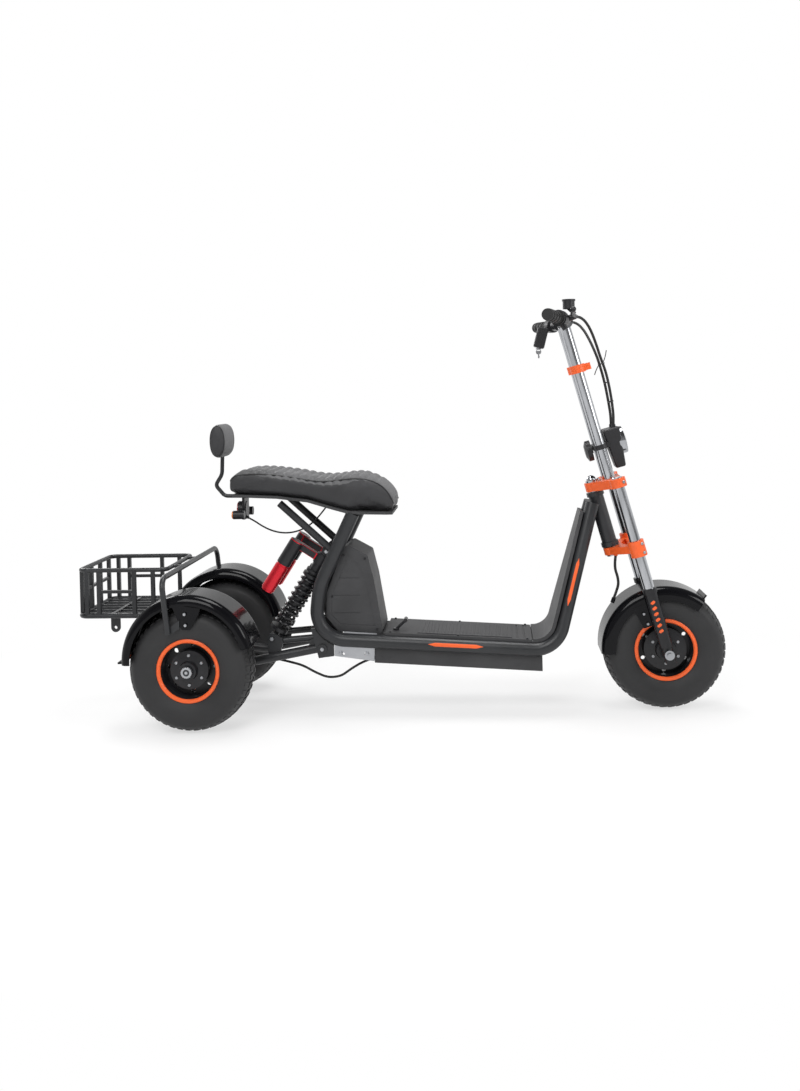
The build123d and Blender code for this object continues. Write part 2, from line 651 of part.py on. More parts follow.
# Routes of the hoses on the steering, in points x ahead of its axis, y to the left and s along it: one
# from each brake lever, both led ahead of the risers into the headlamp's top, and one from the lower
# clamp to the fender.
hose_r = 4
hose_start = [(83, 133, 1009), (95, 116, 1004)]
right_route = [(106, -96, 992), (115, -74, 972), (121, -52, 946), (125, -32, 914), (127, -18, 880), (131, -12, 836),
               (129, -10, 790), (124, -10, 745), (117, -10, 703), (109, -10, 676)]
left_route = [(106, 98, 990), (113, 77, 969), (117, 55, 943), (120, 34, 912), (122, 18, 878), (122, 11, 834),
              (120, 9, 790), (116, 9, 748), (111, 9, 706), (104, 10, 676)]
low_route = [(4, -27, 300), (-4, -28, 281), (-9, -30, 261), (-8, -32, 239), (-12, -34, 218), (-24, -36, 200),
             (-36, -38, 184)]
hose_routes = [
    [fork_at(x, -y, s) for x, y, s in hose_start] + [fork_at(*p) for p in right_route],
    [fork_at(*p) for p in hose_start + left_route],
    [fork_at(*p) for p in low_route],
]

# Steering stem, with collars against the clamps and a domed cap nut.
clamp_high_top = clamp_high_s + clamp_high_t / 2
stem = fork_rod(0, 0, clamp_low_s - 15, clamp_high_top + 5, stem_r)
stem += fork_rod(0, 0, clamp_high_top, clamp_high_top + 6, stem_collar_r)
stem += fork_rod(0, 0, clamp_low_s - 16, clamp_low_s - clamp_low_t / 2, stem_collar_r)
cap = fork_plane * Pos(0, 0, clamp_high_top + 5) * Sphere(stem_r)
stem += cap - fork_rod(0, 0, clamp_high_top - 20, clamp_high_top + 5, 40)
parts["steering_stem"] = stem


def clamp_plate(s_mid, t, boss_h):
    """Clamp: a boss round the stem and round each leg, a web between them and pinch slots."""
    back = clamp_boss_r * 0.75
    web = make_face(Polyline((-12, back), (-12, -back), (fork_offset - 12, -leg_half_gap - 12),
                             (fork_offset + 16, -leg_half_gap), (fork_offset + 16, leg_half_gap),
                             (fork_offset - 12, leg_half_gap + 12), close=True))
    plate = extrude(web, amount=t / 2, both=True)
    for x, y, h in ((0, 0, t), (fork_offset, -leg_half_gap, boss_h), (fork_offset, leg_half_gap, boss_h)):
        plate += Pos(x, y, 0) * Cylinder(clamp_boss_r, h)
    window = make_face(Polyline((34, -20), (52, -leg_half_gap + 36), (52, leg_half_gap - 36), (34, 20), close=True))
    plate -= extrude(window, amount=t, both=True)
    for y in (-leg_half_gap, leg_half_gap):
        plate -= Pos(fork_offset, y, 0) * Cylinder(stanchion_r + running_gap, boss_h + 10)
        plate -= Pos(fork_offset + clamp_boss_r, y, 0) * Box(clamp_boss_r, slot_w, boss_h + 10)
    plate -= Cylinder(stem_r + running_gap, t + 10)
    return fork_plane * Pos(0, 0, s_mid) * plate


parts["upper_clamp"] = clamp_plate(clamp_high_s, clamp_high_t, clamp_high_t)
lower_clamp = clamp_plate(clamp_low_s, clamp_low_t, clamp_block_h)
parts["lower_clamp"] = lower_clamp + outlet(hose_routes[2][0], hose_routes[2][1], 8, hose_r + 2)

# Fork: bright upper tubes, black lowers with an ankle that carries the axle.
legs = [fork_rod(fork_offset, y, stanchion_low, leg_top, stanchion_r) for y in (-leg_half_gap, leg_half_gap)]
parts["fork_stanchions"] = Compound(children=legs)
lowers = []
for y in (-leg_half_gap, leg_half_gap):
    leg = fork_rod(fork_offset, y, 20, lower_leg_high, lower_leg_r)
    leg += fork_rod(fork_offset, y, lower_leg_low, 24, lower_leg_r - 3)
    leg += fork_rod(fork_offset, y, lower_leg_high - 10, lower_leg_high + 4, lower_leg_r + 2.5)
    leg -= fork_rod(fork_offset, y, stanchion_low, lower_leg_high + 9, stanchion_r + running_gap)
    leg -= cross_rod(wheelbase, tyre_r, 60, front_axle_r + running_gap, y)
    lowers.append(leg)
parts["fork_lowers"] = Compound(children=lowers)

leg_out_y = leg_half_gap + lower_leg_r - 3 + seat_gap
axle = cross_rod(wheelbase, tyre_r, leg_out_y + nut_t + 6, front_axle_r)
for sy in (-1, 1):
    axle += rod((wheelbase, sy * leg_out_y, tyre_r), (wheelbase, sy * (leg_out_y + nut_t), tyre_r), axle_nut_r)
parts["front_axle"] = axle

# Risers, their brace and the handlebar. The bar runs straight in the middle and sweeps back to the grips.
bar_x = riser_x + bar_ahead
risers = []
for y in (-riser_half_gap, riser_half_gap):
    tube = fork_rod(riser_x, y, clamp_high_top, bar_s - 12, riser_r)
    ring_ends = [Vector(*fork_at(bar_x, y + dy, bar_s)) for dy in (-17, 17)]
    tube += rod(ring_ends[0], ring_ends[1], bar_r + 9)
    tube -= rod(fork_at(bar_x, y - 40, bar_s), fork_at(bar_x, y + 40, bar_s), bar_r + running_gap)
    risers.append(tube)
parts["risers"] = Compound(children=risers)

brace = fork_plane * Pos(riser_x + 6, 0, brace_s) * Box(30, 2 * riser_half_gap, brace_h)
for y in (-riser_half_gap, riser_half_gap):
    brace += fork_rod(riser_x, y, brace_s - brace_h / 2, brace_s + brace_h / 2, riser_r + 7)
    brace += fork_plane * Pos(riser_x + 28, y, brace_s) * Box(22, 14, brace_h - 4)
    brace -= fork_rod(riser_x, y, brace_s - 30, brace_s + 30, riser_r + running_gap)
    brace -= fork_plane * Pos(riser_x + 30, y, brace_s) * Box(30, slot_w, brace_h + 4)
parts["riser_brace"] = brace

bar_end_x = bar_x - bar_sweep
bar_end_s = bar_s + bar_rise
bar_points = [fork_at(bar_end_x, -bar_half_w, bar_end_s), fork_at(bar_x, -bar_bend_y, bar_s),
              fork_at(bar_x, bar_bend_y, bar_s), fork_at(bar_end_x, bar_half_w, bar_end_s)]
bar_radii = [bar_bend_r, bar_bend_r]
parts["handlebar"] = bent_tube(bar_points, bar_radii, bar_r)
bar_room = bent_tube(bar_points, bar_radii, bar_r + running_gap)

bar_tip = Vector(*bar_points[0])
bar_dir = (Vector(*bar_points[1]) - bar_tip).normalized()


def on_bar(distance, r, length, r_in):
    """Sleeve round the right end of the bar, its outer end the distance from the bar's tip."""
    plane = Plane(bar_tip + bar_dir * distance, z_dir=bar_dir)
    sleeve = Cylinder(r, length, align=upright)
    if r_in > 0:
        sleeve -= Cylinder(r_in, length, align=upright)
    return plane * sleeve


grip = on_bar(0, grip_r, grip_len, bar_r) + on_bar(-6, grip_r, 6, 0)
grip += on_bar(grip_len - 8, grip_r + 4, 8, bar_r)
for i in range(3):
    grip += on_bar(14 + 30 * i, grip_r + 1, 12, bar_r)
parts["grips"] = pair(grip)

# Brake levers: a perch round the bar, an arm ahead of it and a blade with a ball end.
perch_mid = bar_tip + bar_dir * (grip_len + perch_off + perch_len / 2)
perch = on_bar(grip_len + perch_off, perch_r, perch_len, bar_r + running_gap)
ahead = fork_plane.x_dir
lever_root = perch_mid + ahead * 36 - bar_dir * 6
lever_knee = perch_mid + ahead * 42 - bar_dir * 74
lever_tip = perch_mid + ahead * 62 - bar_dir * 158
perch += rod(perch_mid + ahead * 14, lever_root, 9)
lever = rod(lever_root, lever_knee, 6) + rod(lever_knee, lever_tip, 5)
lever += Pos(*lever_knee) * Sphere(6)
lever += Pos(*lever_tip) * Sphere(8)
perch += outlet(hose_routes[0][0], hose_routes[0][1], 14, hose_r + 1.5)
parts["brake_levers"] = pair(perch + lever)

# Right side of the bar: throttle housing inside the grip and a brake reservoir with its cap.
up_dir = fork_plane.z_dir
throttle = on_bar(grip_len + 4, grip_r + 7, 34, bar_r + running_gap)
throttle_mid = bar_tip + bar_dir * (grip_len + 21)
throttle += rod(throttle_mid - up_dir * 12, throttle_mid - up_dir * 34 + ahead * 8, 8)
throttle -= bar_room
cup_mid = perch_mid - bar_dir * 22 + ahead * 30 + up_dir * 34
cup = Pos(*cup_mid) * Cylinder(17, 24) + Pos(*cup_mid) * Pos(0, 0, 13) * Cylinder(19, 5)
cup += rod(cup_mid - Vector(0, 0, 10), lever_root + up_dir * 8, 6)
cup -= rod(perch_mid, lever_root + ahead * 8, 9 + seat_gap) + rod(lever_root, lever_knee, 6 + seat_gap)
cup -= perch
parts["brake_reservoir"] = cup
parts["throttle"] = throttle

# Left side: a pod with the key switch, hung under the bar on a clamp.
pod_mid = Vector(*mirrored(Pos(*throttle_mid) * Sphere(1)).center())
pod_place = pod_mid - up_dir * 26 - ahead * 44 - Vector(0, 8, 0)
pod = Pos(*pod_place) * Rot(0, rake, 0) * fillet(Box(34, 40, 66).edges(), 5)
pod += rod(pod_place + up_dir * 14, pod_mid - ahead * 6, 10)
pod += mirrored(on_bar(grip_len + 6, grip_r + 5, 32, bar_r + running_gap))
pod -= bar_room
parts["key_pod"] = pod

# Headlamp: a hood that tapers down, with a round bezel, on a bracket between the risers.
lamp_low_s, lamp_high_s, lamp_eye_s = 548, 668, 624
hood_low = Plane(fork_plane.from_local_coords((94, 0, lamp_low_s)), x_dir=fork_plane.x_dir, z_dir=fork_plane.z_dir)
hood_high = Plane(fork_plane.from_local_coords((95, 0, lamp_high_s)), x_dir=fork_plane.x_dir, z_dir=fork_plane.z_dir)
lamp = loft([hood_low * Rectangle(30, 56), hood_high * Rectangle(52, 96)])
lamp = fillet(lamp.edges(), 6)
lamp += fork_plane * Pos(108, 0, lamp_eye_s) * Rot(0, 90, 0) * Cylinder(40, 20, align=upright)
lamp -= fork_plane * Pos(125, 0, lamp_eye_s) * Rot(0, 90, 0) * Cylinder(35, 10, align=upright)
lamp += fork_plane * Pos(54, 0, lamp_eye_s) * Box(48, 2 * riser_half_gap, 14)
for y in (-riser_half_gap, riser_half_gap):
    lamp += fork_rod(riser_x, y, lamp_eye_s - 7, lamp_eye_s + 7, riser_r + 4)
    lamp -= fork_rod(riser_x, y, 500, 700, riser_r + running_gap)
for route in hose_routes[:2]:
    lamp += outlet(route[-1], route[-2], 12, hose_r + 2)
parts["headlamp"] = lamp
parts["headlamp_lens"] = fork_plane * Pos(125 + seat_gap, 0, lamp_eye_s) * Rot(0, 90, 0) * lens(34.5, 8)

# Horn: a dished disc behind the risers, on the lamp's bracket.
horn = fork_plane * Pos(12, 0, 618) * Rot(0, 90, 0) * Cylinder(31, 14, align=upright)
horn += fork_plane * Pos(6, 0, 618) * Rot(0, 90, 0) * Cone(18, 31, 6, align=upright)
horn += fork_plane * Pos(25, 0, 618) * Rot(0, 90, 0) * Cylinder(10, 54 - 24 - 25 - seat_gap, align=upright)
parts["horn"] = horn

# Front fender between the legs, with a bolted tab on each side and a lip at its front.
front_fender_r = tyre_r + fender_gap + fender_t
front_fender = fender(front_fender_r, front_skirt_r, 52, 183) + flange(front_fender_r, 12, 52, 53.4)
front_fender = Pos(wheelbase, 0, tyre_r) * front_fender
tab = slab([(-99, 126), (-21, 155), (-21, 82), (-65, 68), (-83, 104)], 1, 0.3 - fender_half_w)
for x, z in ((-65, 111), (-54, 82)):
    tab += cross_rod(x, z, 2, 5.5, -fender_half_w - 2)
tab = Pos(wheelbase, 0, tyre_r) * tab
front_fender += tab
front_fender += mirrored(tab)
parts["front_fender"] = front_fender + outlet(hose_routes[2][-1], hose_routes[2][-2], 16, hose_r + 2)

# Wheels: tyre, rim with its hub, and the coloured lip on each face of the rim.
around = Axis((0, 0, 0), (0, 1, 0))


def turned(points):
    """Closed outline of (distance from the axle, y) points, turned about the axle."""
    return revolve(make_face(Polyline(*points, close=True)), around, 360)


def both_ways(half):
    """The points and their mirror images across the wheel's middle, as one outline half."""
    return half + [(r, -y) for r, y in reversed(half)]


shoulder_r = tyre_r - 20
tyre_out = [(bead_r, bead_half_w), (bead_r + 16, bead_half_w + 13), (bead_r + 42, tyre_half_w),
            (shoulder_r - 6, tyre_half_w - 4), (tyre_r - 5, tyre_half_w * 0.5), (tyre_r, tyre_half_w * 0.14)]
tyre_in = [(bead_r, bead_half_w - tyre_wall), (bead_r + 50, tyre_half_w - tyre_wall),
           (tyre_r - tyre_wall - 5, tyre_half_w * 0.45)]
tyre = turned(both_ways(tyre_out) + list(reversed(both_ways(tyre_in))))
rim_y = bead_half_w + 1
barrel_r = bead_r - 8
barrel_out = [(bead_r - seat_gap, rim_y), (bead_r - seat_gap, rim_y - 10), (barrel_r + rim_wall, rim_y - 18)]
barrel_in = [(bead_r - rim_wall - 1, rim_y), (barrel_r, rim_y - 12)]
barrel = turned(both_ways(barrel_out) + list(reversed(both_ways(barrel_in))))
lip_r = bead_r - rim_wall - 3
lip_top = bead_r + lip_rise
lip_points = [(lip_r, rim_y + seat_gap), (lip_r, rim_y + 4), (lip_r + 3, rim_y + lip_out), (lip_top - 2, rim_y + lip_out),
              (lip_top, rim_y + lip_out - 1.2), (lip_top, rim_y + 3.6), (bead_r + 0.5, rim_y + seat_gap)]


def rim_solid(hub_r, axle_r, disc_y, hole_r, hole_count):
    """Barrel, disc with round holes, hub drum and bore."""
    body = barrel + cross_rod(0, 0, 4, barrel_r + 1, disc_y)
    for i in range(hole_count):
        body -= Rot(0, i * 360 / hole_count, 0) * cross_rod(0, (barrel_r + hub_r) / 2, 10, hole_r, disc_y)
    drum = turned([(0.1, -hub_half_w), (hub_r * 0.45, -hub_half_w), (hub_r * 0.5, -hub_half_w + 16),
                   (hub_r, -hub_half_w + 22), (hub_r, hub_half_w - 22), (hub_r * 0.5, hub_half_w - 16),
                   (hub_r * 0.45, hub_half_w), (0.1, hub_half_w)])
    body += drum
    body -= cross_rod(0, 0, hub_half_w + 20, axle_r + running_gap)
    return body


lips = Compound(children=[turned(lip_points), turned([(r, -y) for r, y in lip_points])])
front_place = Pos(wheelbase, 0, tyre_r)
parts["front_tyre"] = front_place * tyre
parts["front_rim"] = front_place * rim_solid(front_hub_r, front_axle_r, 0, 6, 6)
parts["front_rim_lips"] = front_place * lips
rear_rim = rim_solid(rear_drum_r, rear_axle_r, 0, 7, 8)
for name, sy in (("right", -1), ("left", 1)):
    place = Pos(0, sy * track_half, tyre_r)
    parts["rear_tyre_" + name] = place * tyre
    parts["rear_rim_" + name] = place * rear_rim
    parts["rear_rim_lips_" + name] = place * lips

# Cables, each from socket to socket.
parts["steering_hoses"] = Compound(children=[hose(route, hose_r) for route in hose_routes])

parts["motor_cable"] = hose(loop_points, loop_r)

parts["tail_wire"] = hose(wire_points, wire_r)

# Origin: on the ground, in the middle of the length between the basket's rear and the front tyre.
front_reach = wheelbase + tyre_r
rear_reach = basket_tube_r + 1 - basket_rear_x
to_origin = Pos((rear_reach - front_reach) / 2, 0, 0)

os.makedirs("parts", exist_ok=True)
for name, shape in parts.items():
    export_step(to_origin * shape, "parts/" + name + ".step")
print("parts", len(parts), "moved by", (rear_reach - front_reach) / 2)
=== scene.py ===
# %% [markdown]
# # Three-wheel electric scooter: looks
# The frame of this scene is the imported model: every tube, wheel and clamp at its real size, in metres,
# with the ground at z = 0, +X ahead and +Y to the rider's left. This notebook adds what the eye sees:
# light, a camera, finishes, soft seats, tyre tread, the tail wire, stripes, lamps and small fasteners.

# %% Load the frame
import json
import math

import bmesh
import bpy
from mathutils import Matrix, Vector
from mathutils.bvhtree import BVHTree


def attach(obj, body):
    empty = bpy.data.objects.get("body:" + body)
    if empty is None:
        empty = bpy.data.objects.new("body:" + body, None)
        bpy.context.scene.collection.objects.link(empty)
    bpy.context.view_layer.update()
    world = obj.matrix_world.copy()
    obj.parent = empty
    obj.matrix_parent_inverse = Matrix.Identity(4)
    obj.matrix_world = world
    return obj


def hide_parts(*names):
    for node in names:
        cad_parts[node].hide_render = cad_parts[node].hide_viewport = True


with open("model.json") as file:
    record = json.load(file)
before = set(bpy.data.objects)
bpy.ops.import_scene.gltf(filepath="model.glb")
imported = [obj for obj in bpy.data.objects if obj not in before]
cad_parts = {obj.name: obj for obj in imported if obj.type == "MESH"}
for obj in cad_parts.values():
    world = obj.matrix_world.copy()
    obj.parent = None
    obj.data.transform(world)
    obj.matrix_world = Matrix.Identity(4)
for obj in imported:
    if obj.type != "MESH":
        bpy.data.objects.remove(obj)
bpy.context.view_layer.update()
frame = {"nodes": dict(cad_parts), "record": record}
nodes = frame["nodes"]
MM = 0.001

# %% [markdown]
# ## Camera
# The picture was taken from the right side, a little ahead of the middle and turned slightly back, from
# about 1 m up and 3.3 m away. The lens looks almost level and the frame is shifted down, which keeps
# uprights upright. A camera in Blender looks along its own -Z, so its matrix is built from the right, up
# and forward directions.

# %% Camera
CAMERA_PLACE = Vector((0.2807, -3.3044, 0.9598))
CAMERA_YAW, CAMERA_ROLL, CAMERA_PITCH = (math.radians(a) for a in (4.68, -1.41, 0.51))
LENS_MM = 36.05
LENS_SHIFT = -0.1332


def camera_axes(yaw, roll, pitch):
    """Right, up and forward of a camera that looks along +Y, turned by the three angles."""
    forward = Vector((-math.sin(yaw) * math.cos(pitch), math.cos(yaw) * math.cos(pitch), -math.sin(pitch)))
    level = Vector((math.cos(yaw), math.sin(yaw), 0))
    upright = level.cross(forward)
    right = level * math.cos(roll) + upright * math.sin(roll)
    up = upright * math.cos(roll) - level * math.sin(roll)
    return right, up, forward


right, up, forward = camera_axes(CAMERA_YAW, CAMERA_ROLL, CAMERA_PITCH)
camera = bpy.data.objects.new("camera", bpy.data.cameras.new("camera"))
camera.data.lens = LENS_MM
camera.data.shift_y = LENS_SHIFT
camera.matrix_world = Matrix.Translation(CAMERA_PLACE) @ Matrix((right, up, -forward)).transposed().to_4x4()
bpy.context.scene.collection.objects.link(camera)
bpy.context.scene.camera = camera
bpy.context.scene.view_settings.view_transform = "Standard"

# %% [markdown]
# ## Light
# A studio with a white floor and four soft lamps: a wide one over the camera, one from the front of the
# scooter, one behind it that draws a thin highlight on black tubes, and one overhead. The world is white
# where the camera or a transmission meets it. Mirrors see it darken overhead and on the camera's side, as
# a studio does, so that chrome and gloss black have something to show. For other rays it is a plain grey.
# The floor fades to white away from the scooter.

# %% Lamps
LAMPS = [
    # name, place, aims at, size, watts
    ("key", (-0.9, -3.4, 3.2), (0.0, 0.0, 0.4), 2.2, 105),
    ("front", (3.2, -1.6, 2.0), (0.3, 0.0, 0.5), 1.4, 42),
    ("rear", (-2.6, 2.6, 2.6), (0.0, 0.0, 0.5), 1.6, 60),
    ("top", (0.2, 0.2, 3.6), (0.0, 0.0, 0.0), 1.6, 75),
]
for name, place, aim, size, watts in LAMPS:
    lamp = bpy.data.objects.new(name, bpy.data.lights.new(name, "AREA"))
    lamp.data.size = size
    lamp.data.energy = watts
    lamp.location = place
    lamp.rotation_euler = (Vector(aim) - Vector(place)).to_track_quat("-Z", "Y").to_euler()
    bpy.context.scene.collection.objects.link(lamp)
print("lamps", [row[0] for row in LAMPS])


# %% White that only some rays see
def calc(tree, operation, first, second):
    """Math node of two values, each a socket or a number."""
    node = tree.nodes.new("ShaderNodeMath")
    node.operation = operation
    for socket, value in zip(node.inputs, (first, second)):
        if isinstance(value, bpy.types.NodeSocket):
            tree.links.new(value, socket)
        else:
            socket.default_value = value
    return node.outputs[0]


def join_rays(tree, names):
    """Factor that is 1 for the named kinds of ray."""
    path = tree.nodes.new("ShaderNodeLightPath")
    total = path.outputs[names[0]]
    for name in names[1:]:
        total = calc(tree, "MAXIMUM", total, path.outputs[name])
    return total


def ramp(tree, value, low, high, to_low, to_high):
    """Value spread from one range to another and held at its ends."""
    node = tree.nodes.new("ShaderNodeMapRange")
    for label, number in (("From Min", low), ("From Max", high), ("To Min", to_low), ("To Max", to_high)):
        node.inputs[label].default_value = number
    tree.links.new(value, node.inputs["Value"])
    return node.outputs["Result"]


SEEN_RAYS = ["Is Camera Ray", "Is Glossy Ray", "Is Transmission Ray"]
WHITE_RAYS = ["Is Camera Ray", "Is Transmission Ray"]
SKY_WHITE = (1, 1, 1, 1)
SKY_GREY = (0.40, 0.40, 0.40, 1)
# Where a mirror's sky starts and stops changing along an axis, and its brightness at both
OVERHEAD_FADE = (0.25, 0.65, 1.0, 0.2)
CAMERA_SIDE_FADE = (-0.5, 0.15, 0.3, 1.0)
world = bpy.data.worlds.new("studio")
bpy.context.scene.world = world
world.use_nodes = True
tree = world.node_tree
tree.nodes.clear()
sky_seen = tree.nodes.new("ShaderNodeBackground")
sky_light = tree.nodes.new("ShaderNodeBackground")
sky_seen.inputs["Color"].default_value = SKY_WHITE
sky_light.inputs["Color"].default_value = SKY_GREY
direction = tree.nodes.new("ShaderNodeSeparateXYZ")
tree.links.new(tree.nodes.new("ShaderNodeTexCoord").outputs["Generated"], direction.inputs[0])
overhead = ramp(tree, direction.outputs["Z"], *OVERHEAD_FADE)
camera_side = ramp(tree, direction.outputs["Y"], *CAMERA_SIDE_FADE)
mirror_sky = calc(tree, "MULTIPLY", overhead, camera_side)
seen_sky = calc(tree, "MAXIMUM", mirror_sky, join_rays(tree, WHITE_RAYS))
tree.links.new(seen_sky, sky_seen.inputs["Strength"])
mix = tree.nodes.new("ShaderNodeMixShader")
tree.links.new(join_rays(tree, SEEN_RAYS), mix.inputs["Fac"])
tree.links.new(sky_light.outputs[0], mix.inputs[1])
tree.links.new(sky_seen.outputs[0], mix.inputs[2])
tree.links.new(mix.outputs[0], tree.nodes.new("ShaderNodeOutputWorld").inputs["Surface"])

# %% [markdown]
# ## Floor
# A pale floor has to carry a shadow and still end in white, with no edge. It is one wide square of grey
# paint, and the rays that see it also get plain white: about six tenths of it near the scooter, so that a
# soft shadow stays, and nothing else further out.

# %% Floor
FLOOR_HALF = 30
FLOOR_PAINT = (0.82, 0.82, 0.82, 1)
FLOOR_ROUGHNESS = 0.7
WHITE_NEAR = 0.62
FADE_FROM = 0.7
FADE_TO = 1.7
floor_corners = [(x * FLOOR_HALF, y * FLOOR_HALF, 0) for x, y in ((-1, -1), (1, -1), (1, 1), (-1, 1))]
floor_mesh = bpy.data.meshes.new("floor")
floor_mesh.from_pydata(floor_corners, [], [(0, 1, 2, 3)])
floor = bpy.data.objects.new("floor", floor_mesh)
bpy.context.scene.collection.objects.link(floor)
floor_paint = bpy.data.materials.new("floor_paint")
floor_paint.use_nodes = True
tree = floor_paint.node_tree
paint = tree.nodes["Principled BSDF"]
paint.inputs["Base Color"].default_value = FLOOR_PAINT
paint.inputs["Roughness"].default_value = FLOOR_ROUGHNESS
white = tree.nodes.new("ShaderNodeEmission")
distance = tree.nodes.new("ShaderNodeVectorMath")
distance.operation = "LENGTH"
tree.links.new(tree.nodes.new("ShaderNodeTexCoord").outputs["Object"], distance.inputs[0])
fade = ramp(tree, distance.outputs["Value"], FADE_FROM, FADE_TO, WHITE_NEAR, 1.0)
mix = tree.nodes.new("ShaderNodeMixShader")
tree.links.new(calc(tree, "MULTIPLY", join_rays(tree, SEEN_RAYS), fade), mix.inputs["Fac"])
tree.links.new(paint.outputs[0], mix.inputs[1])
tree.links.new(white.outputs[0], mix.inputs[2])
tree.links.new(mix.outputs[0], tree.nodes["Material Output"].inputs["Surface"])
floor_mesh.materials.append(floor_paint)
print("floor half side", FLOOR_HALF)

# %% [markdown]
# ## Shader groups
# Paint, plastic, rubber and leather all have a fine grain and a slow change of tone, so both are made
# once as a node group and placed in each material with its own scale. Leather gets a second group, for
# its rounded cells.


# %% Shader groups
def group_socket(group, name, kind, way, value=None):
    """One named input or output of a node group."""
    socket = group.interface.new_socket(name, in_out=way, socket_type=kind)
    if value is not None:
        socket.default_value = value
    return socket


def grain_group():
    """Fine bumps and a slow change of tone, both from 0 to 1."""
    group = bpy.data.node_groups.new("grain", "ShaderNodeTree")
    group_socket(group, "Vector", "NodeSocketVector", "INPUT")
    group_socket(group, "Grain Scale", "NodeSocketFloat", "INPUT", 800.0)
    group_socket(group, "Tone Scale", "NodeSocketFloat", "INPUT", 6.0)
    group_socket(group, "Height", "NodeSocketFloat", "OUTPUT")
    group_socket(group, "Tone", "NodeSocketFloat", "OUTPUT")
    entry = group.nodes.new("NodeGroupInput")
    leave = group.nodes.new("NodeGroupOutput")
    fine = group.nodes.new("ShaderNodeTexNoise")
    fine.inputs["Detail"].default_value = 4
    slow = group.nodes.new("ShaderNodeTexNoise")
    slow.inputs["Detail"].default_value = 5
    slow.inputs["Roughness"].default_value = 0.6
    spread = group.nodes.new("ShaderNodeMapRange")
    spread.inputs["From Min"].default_value = 0.3
    spread.inputs["From Max"].default_value = 0.7
    group.links.new(entry.outputs["Vector"], fine.inputs["Vector"])
    group.links.new(entry.outputs["Vector"], slow.inputs["Vector"])
    group.links.new(entry.outputs["Grain Scale"], fine.inputs["Scale"])
    group.links.new(entry.outputs["Tone Scale"], slow.inputs["Scale"])
    group.links.new(slow.outputs["Fac"], spread.inputs["Value"])
    group.links.new(fine.outputs["Fac"], leave.inputs["Height"])
    group.links.new(spread.outputs["Result"], leave.inputs["Tone"])
    return group


def pebble_group():
    """Leather grain: rounded cells with creases between them."""
    group = bpy.data.node_groups.new("pebble", "ShaderNodeTree")
    group_socket(group, "Vector", "NodeSocketVector", "INPUT")
    group_socket(group, "Cell Scale", "NodeSocketFloat", "INPUT", 700.0)
    group_socket(group, "Height", "NodeSocketFloat", "OUTPUT")
    entry = group.nodes.new("NodeGroupInput")
    leave = group.nodes.new("NodeGroupOutput")
    cells = group.nodes.new("ShaderNodeTexVoronoi")
    cells.feature = "DISTANCE_TO_EDGE"
    crease = group.nodes.new("ShaderNodeMapRange")
    crease.inputs["From Max"].default_value = 0.12
    group.links.new(entry.outputs["Vector"], cells.inputs["Vector"])
    group.links.new(entry.outputs["Cell Scale"], cells.inputs["Scale"])
    group.links.new(cells.outputs["Distance"], crease.inputs["Value"])
    group.links.new(crease.outputs["Result"], leave.inputs["Height"])
    return group


GRAIN = grain_group()
PEBBLE = pebble_group()


